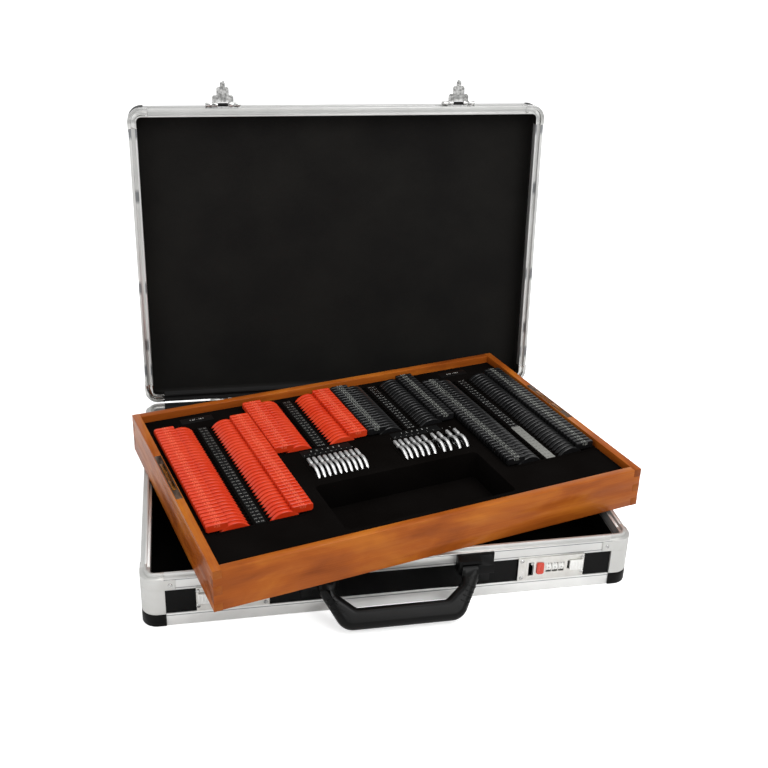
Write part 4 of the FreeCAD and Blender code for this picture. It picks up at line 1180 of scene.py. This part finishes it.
@dataclass
class Lining:
    """Cloth glued over thin padding: a shallow open box with a soft swell on its floor."""

    name: str
    body: str
    node: str
    finish: Finish
    low: tuple[float, float, float]
    high: tuple[float, float, float]
    open_up: bool
    place: Matrix | None = None
    swell: float = 1.2
    corner: float = 4.0
    cloth: float = 0.9

    def build(self) -> Object:
        """Makes the lining.

        Returns:
            The finished lining.
        """
        piece = cube(self.low, self.high)
        mouth = 1.0 if self.open_up else -1.0
        edit(piece, lambda face: face.normal.z * mouth > 0.9)
        bpy.ops.mesh.delete(type="FACE")
        bpy.ops.object.mode_set(mode="OBJECT")
        soften(piece, self.corner, 4, 60.0)
        mend_normals(piece)
        edit(piece, lambda face: abs(face.normal.z) > 0.99)
        bpy.ops.mesh.subdivide(number_cuts=30)
        bpy.ops.object.mode_set(mode="OBJECT")
        middle = (Vector(self.low) + Vector(self.high)) * MM / 2
        reach = (Vector(self.high) - Vector(self.low)) * MM / 2
        floor = (self.low[2] if self.open_up else self.high[2]) * MM
        for point in piece.data.vertices:
            if abs(point.co.z - floor) < 0.2 * MM:
                u = min(abs(point.co.x - middle.x) / reach.x, 1.0)
                v = min(abs(point.co.y - middle.y) / reach.y, 1.0)
                point.co.z += mouth * self.swell * MM * (1 - u**6) * (1 - v**6)
        modify(piece, "SOLIDIFY", thickness=self.cloth * MM, offset=-1.0)
        mend_normals(piece)
        dressed = Dressed(self.name, self.body, "dark_lining", self.finish, self.place, (self.node,), 50.0)
        made = dressed.apply(piece)
        return made


@dataclass
class Lock:
    """A combination lock: plate, slide, red button and three number wheels."""

    side: str
    mirror: int
    dial_x: float = 169.6
    dial_pitch: float = 7.2
    dial_r: float = 6.6
    dial_z: float = 30.7
    dial_y: float = -189.4

    def dial_numbers(self, index: int) -> None:
        """Prints ten digits round one wheel.

        Args:
            index: the wheel, from 1.
        """
        x = self.mirror * (self.dial_x + (index - 1) * self.dial_pitch)
        centre = Matrix.Translation(Vector((x, self.dial_y, self.dial_z)) * MM)
        items = []
        for digit in range(10):
            around = Matrix.Rotation(math.radians(36.0 * digit), 4, "X")
            out = Matrix.Translation(Vector((0.0, -self.dial_r - 0.02, 0.0)) * MM)
            items.append((str(digit), centre @ around @ out @ Matrix.Rotation(math.radians(90), 4, "X")))
        numbers = Lettering(3.6, 0.08).print_all(items)
        body = "%s_lock_dial_%d" % (self.side, index)
        Dressed("%s_dial_%d_digits" % (self.side, index), body, "card", BLACK_INK).apply(numbers)

    def build(self) -> None:
        """Dresses the lock's nodes and prints its wheels."""
        for index in (1, 2, 3):
            node = "%s_lock_dial_%d" % (self.side, index)
            recast(node, node + "_enamelled", "steel_chrome", WHEEL_WHITE, 0.12)
            self.dial_numbers(index)
        recast(self.side + "_lock_slide", self.side + "_lock_slide_plated", "steel_chrome", KNOB_NICKEL, 0.3)
        recast(self.side + "_lock_button", self.side + "_lock_button_red", "red_button", RED_ABS, 0.3)
        recast(self.side + "_hasp", self.side + "_hasp_plated", "steel_chrome", HASP_CHROME, 0.2)


@dataclass
class Handle:
    """The moulded carrying handle with slanting finger ribs on its arms."""

    pivot: tuple[float, float, float] = (0.0, -205.0, 44.0)
    angle: float = 42.0
    ribs: int = 4
    rib_slant: float = 24.0

    def rib(self, side: int, index: int) -> Object:
        """One rib, a bar rounded all over that lies slantwise across an arm.

        Args:
            side: 1 for the right arm, -1 for the left one.
            index: its place from the top of the arm.

        Returns:
            The rib, drawn on the handle as it hangs straight down.
        """
        # The arms lean inwards: each rib stands 5.0 mm lower and 2.9 mm further in than the one above.
        x, drop = side * (74.5 - index * 2.9), 17.0 + index * 5.0
        piece = cube((-5.2, -8.8, -0.9), (5.2, 8.8, 0.9))
        soften(piece, 0.8)
        tilt = Matrix.Rotation(math.radians(side * self.rib_slant), 4, "Y")
        spot = Vector((x, self.pivot[1], self.pivot[2] - drop)) * MM
        piece.matrix_world = Matrix.Translation(spot) @ tilt
        return piece

    def build(self) -> None:
        """Makes the handle's skin, its ribs and its brackets."""
        recast("handle", "handle_moulding", "handle_plastic", HANDLE_ABS)
        ribs = join([self.rib(side, i) for side in (-1, 1) for i in range(self.ribs)])
        pivot = Vector(self.pivot) * MM
        turn = Matrix.Rotation(math.radians(-self.angle), 4, "X")
        place = Matrix.Translation(pivot) @ turn @ Matrix.Translation(-pivot)
        Dressed("handle_finger_ribs", "handle", "handle_plastic", HANDLE_ABS, place).apply(ribs)
        recast("handle_brackets", "handle_bracket_mouldings", "handle_plastic", BLACK_ABS, 0.7)


@dataclass
class Case:
    """Base and lid of the case: rails, corners, panels, hinges and linings."""

    recasts: tuple[tuple[str, str, str, Finish, float], ...] = (
        ("base_upper_rails", "base_upper_rails_drawn", "rail_aluminium", UPPER_RAIL, 0.3),
        ("base_lower_rails", "base_lower_rails_drawn", "rail_aluminium", BASE_RAIL, 0.3),
        ("base_corner_posts", "base_corner_posts_pressed", "rail_aluminium", POST, 0.0),
        ("base_corner_fittings", "base_corner_fittings_pressed", "cap_chrome", POST, 0.25),
        ("base_corner_feet", "base_corner_feet_moulded", "black_plastic", BLACK_ABS, 0.6),
        ("lid_rim_rails", "lid_rim_rails_drawn", "rail_aluminium", LID_RIM, 0.3),
        ("lid_edge_rails", "lid_edge_rails_drawn", "rail_aluminium", LID_RAIL, 0.3),
        ("lid_corner_caps", "lid_corner_caps_plated", "cap_chrome", CHROME, 0.25),
        ("lid_corner_guards", "lid_corner_guards_moulded", "black_plastic", BLACK_ABS, 0.6),
        ("hinge_base_leaves", "hinge_base_leaves_plated", "nickel", NICKEL, 0.15),
        ("hinge_lid_leaves", "hinge_lid_leaves_plated", "nickel", NICKEL, 0.15),
        ("hasp_brackets", "hasp_brackets_plated", "steel_chrome", HASP_CHROME, 0.2),
        ("lock_plates", "lock_plates_cast", "nickel", NICKEL, 0.2),
        ("case_screws", "case_screws_plated", "steel_chrome", HASP_CHROME, 0.12),
        ("pivot_pins", "pivot_pins_plated", "steel_chrome", CHROME, 0.0),
    )
    plain: tuple[tuple[str, Finish], ...] = (
        ("base_side_panels", LAMINATE),
        ("base_bottom_panel", LAMINATE),
        ("lid_side_panels", LAMINATE),
        ("lid_top_panel", LAMINATE),
        ("lock_bodies", NICKEL),
        ("hasp_springs", SPRING_STEEL),
    )
    wall: float = 5.7

    def rivets(self) -> Object:
        """Domed rivets at the ends of the lid's corner caps, drawn on the shut lid.

        Returns:
            The rivets as one object.
        """
        heads, spots = [], []
        inset, z = 27.0, 64.0
        for sx in (-1, 1):
            for sy in (-1, 1):
                spots.append((sx * (CASE_W / 2 - inset), sy * CASE_D / 2, 0.0, float(sy)))
                spots.append((sx * CASE_W / 2, sy * (CASE_D / 2 - inset), float(sx), 0.0))
        for x, y, nx, ny in spots:
            deselect()
            bpy.ops.mesh.primitive_uv_sphere_add(segments=16, ring_count=8, radius=1.7 * MM)
            head = bpy.context.object
            head.scale = (0.45 if nx else 1.0, 0.45 if ny else 1.0, 1.0)
            head.location = Vector((x, y, z)) * MM
            heads.append(head)
        return join(heads)

    def build(self) -> None:
        """Makes and dresses the case."""
        for node, name, slot, finish, bevel in self.recasts:
            recast(node, name, slot, finish, bevel)
        for node, finish in self.plain:
            dress_node(node, finish)
        Dressed("lid_rivets", "lid", "steel_chrome", CHROME, lid_place()).apply(self.rivets())
        x, y = CASE_W / 2 - self.wall, CASE_D / 2 - self.wall
        low, high = (-x, -y, 69.4), (x, y, 83.6)
        Lining("lid_lining_cloth", "lid", "lid_lining", LID_CLOTH, low, high, False, lid_place()).build()
        low, high = (-x, -y, 4.7), (x, y, 43.9)
        Lining("base_lining_cloth", "base", "base_lining", BASE_CLOTH, low, high, True).build()


@dataclass
class Studio:
    """Floor, lamps, world and the camera at the photograph's angle."""

    azimuth: float = -11.435
    elevation: float = 24.208
    roll: float = 1.893
    spot: tuple[float, float, float] = (-201.804, -1078.243, 709.642)
    lens: float = 48.668
    shift: tuple[float, float] = (0.00152, -0.04764)
    floor_color: str = "#F6F6F6"
    floor_light: str = "#F8F8F8"
    floor_glow: float = 0.6
    ceiling: float = 0.1
    world_strength: float = 0.55

    def camera(self) -> None:
        """Places the camera."""
        az, el, roll = (math.radians(v) for v in (self.azimuth, self.elevation, self.roll))
        back = Vector((math.sin(az) * math.cos(el), -math.cos(az) * math.cos(el), math.sin(el)))
        right = (-back).cross(Vector((0, 0, 1))).normalized()
        up = right.cross(-back)
        side = math.cos(roll) * right + math.sin(roll) * up
        top = -math.sin(roll) * right + math.cos(roll) * up
        data = bpy.data.cameras.new("photo_camera")
        data.sensor_width = 36.0
        data.lens = self.lens
        data.shift_x, data.shift_y = self.shift
        data.clip_end = 50.0
        camera = add_object("photo_camera", data)
        turn = Matrix((side, top, back)).transposed().to_4x4()
        camera.matrix_world = Matrix.Translation(Vector(self.spot) * MM) @ turn
        bpy.context.scene.camera = camera

    def lamp(self, name: str, spot: Sequence[float], aim: Sequence[float], size: float, watts: float) -> None:
        """Adds a soft square lamp.

        Args:
            name: its name.
            spot: where it hangs, in metres.
            aim: what it points at, in metres.
            size: its side, in metres.
            watts: its power.
        """
        data = bpy.data.lights.new(name, "AREA")
        data.shape = "SQUARE"
        data.size = size
        data.energy = watts
        lamp = add_object(name, data)
        lamp.location = spot
        lamp.rotation_euler = (Vector(aim) - Vector(spot)).to_track_quat("-Z", "Y").to_euler()

    def seen(self, tree: NodeTree) -> tuple[Node, NodeSocket]:
        """Says where the backdrop is seen by the camera, or through glass.

        Args:
            tree: the material's or world's node tree.

        Returns:
            The Light Path node, and a socket that is 1 for such rays.
        """
        ray = add_node(tree, "LightPath")
        rays = {0: ray.outputs["Is Camera Ray"], 1: ray.outputs["Is Transmission Ray"]}
        return ray, add_node(tree, "Math", links=rays, operation="MAXIMUM").outputs[0]

    def world(self) -> None:
        """A soft white room, which is plain white to the camera and through glass."""
        world = bpy.data.worlds.new("studio")
        bpy.context.scene.world = world
        world.use_nodes = True
        tree = world.node_tree
        tree.nodes.clear()
        ray, seen = self.seen(tree)
        plain = ends((0.0, 1.0), (self.world_strength, 1.0))
        strength = add_node(tree, "MapRange", plain, {"Value": seen}).outputs["Result"]
        # Gloss sees a near white horizon and a darker room above it, but never less than the world's own light.
        up = add_node(tree, "SeparateXYZ", links={"Vector": add_node(tree, "TexCoord").outputs["Generated"]})
        room = add_node(tree, "MapRange", ends((0.3, 0.6), (0.9, self.ceiling)), {"Value": up.outputs["Z"]})
        glossy = {0: room.outputs["Result"], 1: ray.outputs["Is Glossy Ray"]}
        shown = add_node(tree, "Math", links=glossy, operation="MULTIPLY").outputs[0]
        most = add_node(tree, "Math", links={0: strength, 1: shown}, operation="MAXIMUM").outputs[0]
        light = add_node(tree, "Background", {"Color": (1, 1, 1, 1)}, {"Strength": most})
        add_node(tree, "OutputWorld", links={"Surface": light.outputs[0]})

    def floor(self) -> None:
        """A wide pale floor."""
        deselect()
        bpy.ops.mesh.primitive_plane_add(size=1.0, location=(0, 0, -0.0002))
        floor = bpy.context.object
        floor.scale = (30.0, 30.0, 1.0)
        bpy.ops.object.transform_apply()
        floor.name = "studio_floor"
        material = bpy.data.materials.new("matt white paper sweep")
        material.use_nodes = True
        tree = material.node_tree
        shader = tree.nodes["Principled BSDF"]
        place = add_node(tree, "TexCoord").outputs["Object"]
        fibre = add_node(tree, "TexNoise", {"Scale": 40.0, "Detail": 3.0}, {"Vector": place})
        tones = [(0.2, self.floor_color), (0.8, self.floor_light)]
        add_node(tree, "ValToRGB", None, {"Fac": fibre.outputs["Fac"]}, shader.inputs["Base Color"], tones)
        set_values(shader, {"Roughness": 0.85})
        # To the camera and through glass the floor is lit up to white, and it keeps the object's shadow.
        seen = self.seen(tree)[1]
        glow = add_node(tree, "MapRange", ends((0.0, 1.0), (0.0, self.floor_glow)), {"Value": seen})
        light = add_node(tree, "Emission", {"Color": (1, 1, 1, 1)}, {"Strength": glow.outputs["Result"]})
        both = add_node(tree, "AddShader", links={0: shader.outputs[0], 1: light.outputs[0]})
        output = next(node for node in tree.nodes if node.bl_idname == "ShaderNodeOutputMaterial")
        tree.links.new(both.outputs[0], output.inputs["Surface"])
        floor.data.materials.append(material)

    def build(self) -> None:
        """Sets up the studio."""
        self.camera()
        self.world()
        self.floor()
        low, mid = (0.0, 0.0, 0.1), (0.0, 0.0, 0.15)
        self.lamp("key_softbox", (1.0, -1.6, 2.1), mid, 1.4, 32.0)
        self.lamp("fill_softbox", (-1.9, -1.3, 1.4), mid, 1.6, 10.0)
        self.lamp("top_softbox", (0.2, 0.3, 2.4), low, 1.6, 20.0)
        bpy.context.scene.view_settings.view_transform = "Standard"


def main() -> None:
    """Builds the studio, the case, the handle, the locks and the tray."""
    logging.basicConfig(level=logging.INFO, format="%(message)s")
    Studio().build()
    Case().build()
    Handle().build()
    for side, mirror in (("right", 1), ("left", -1)):
        Lock(side, mirror).build()
    Tray().build()


if __name__ == "__main__":
    main()
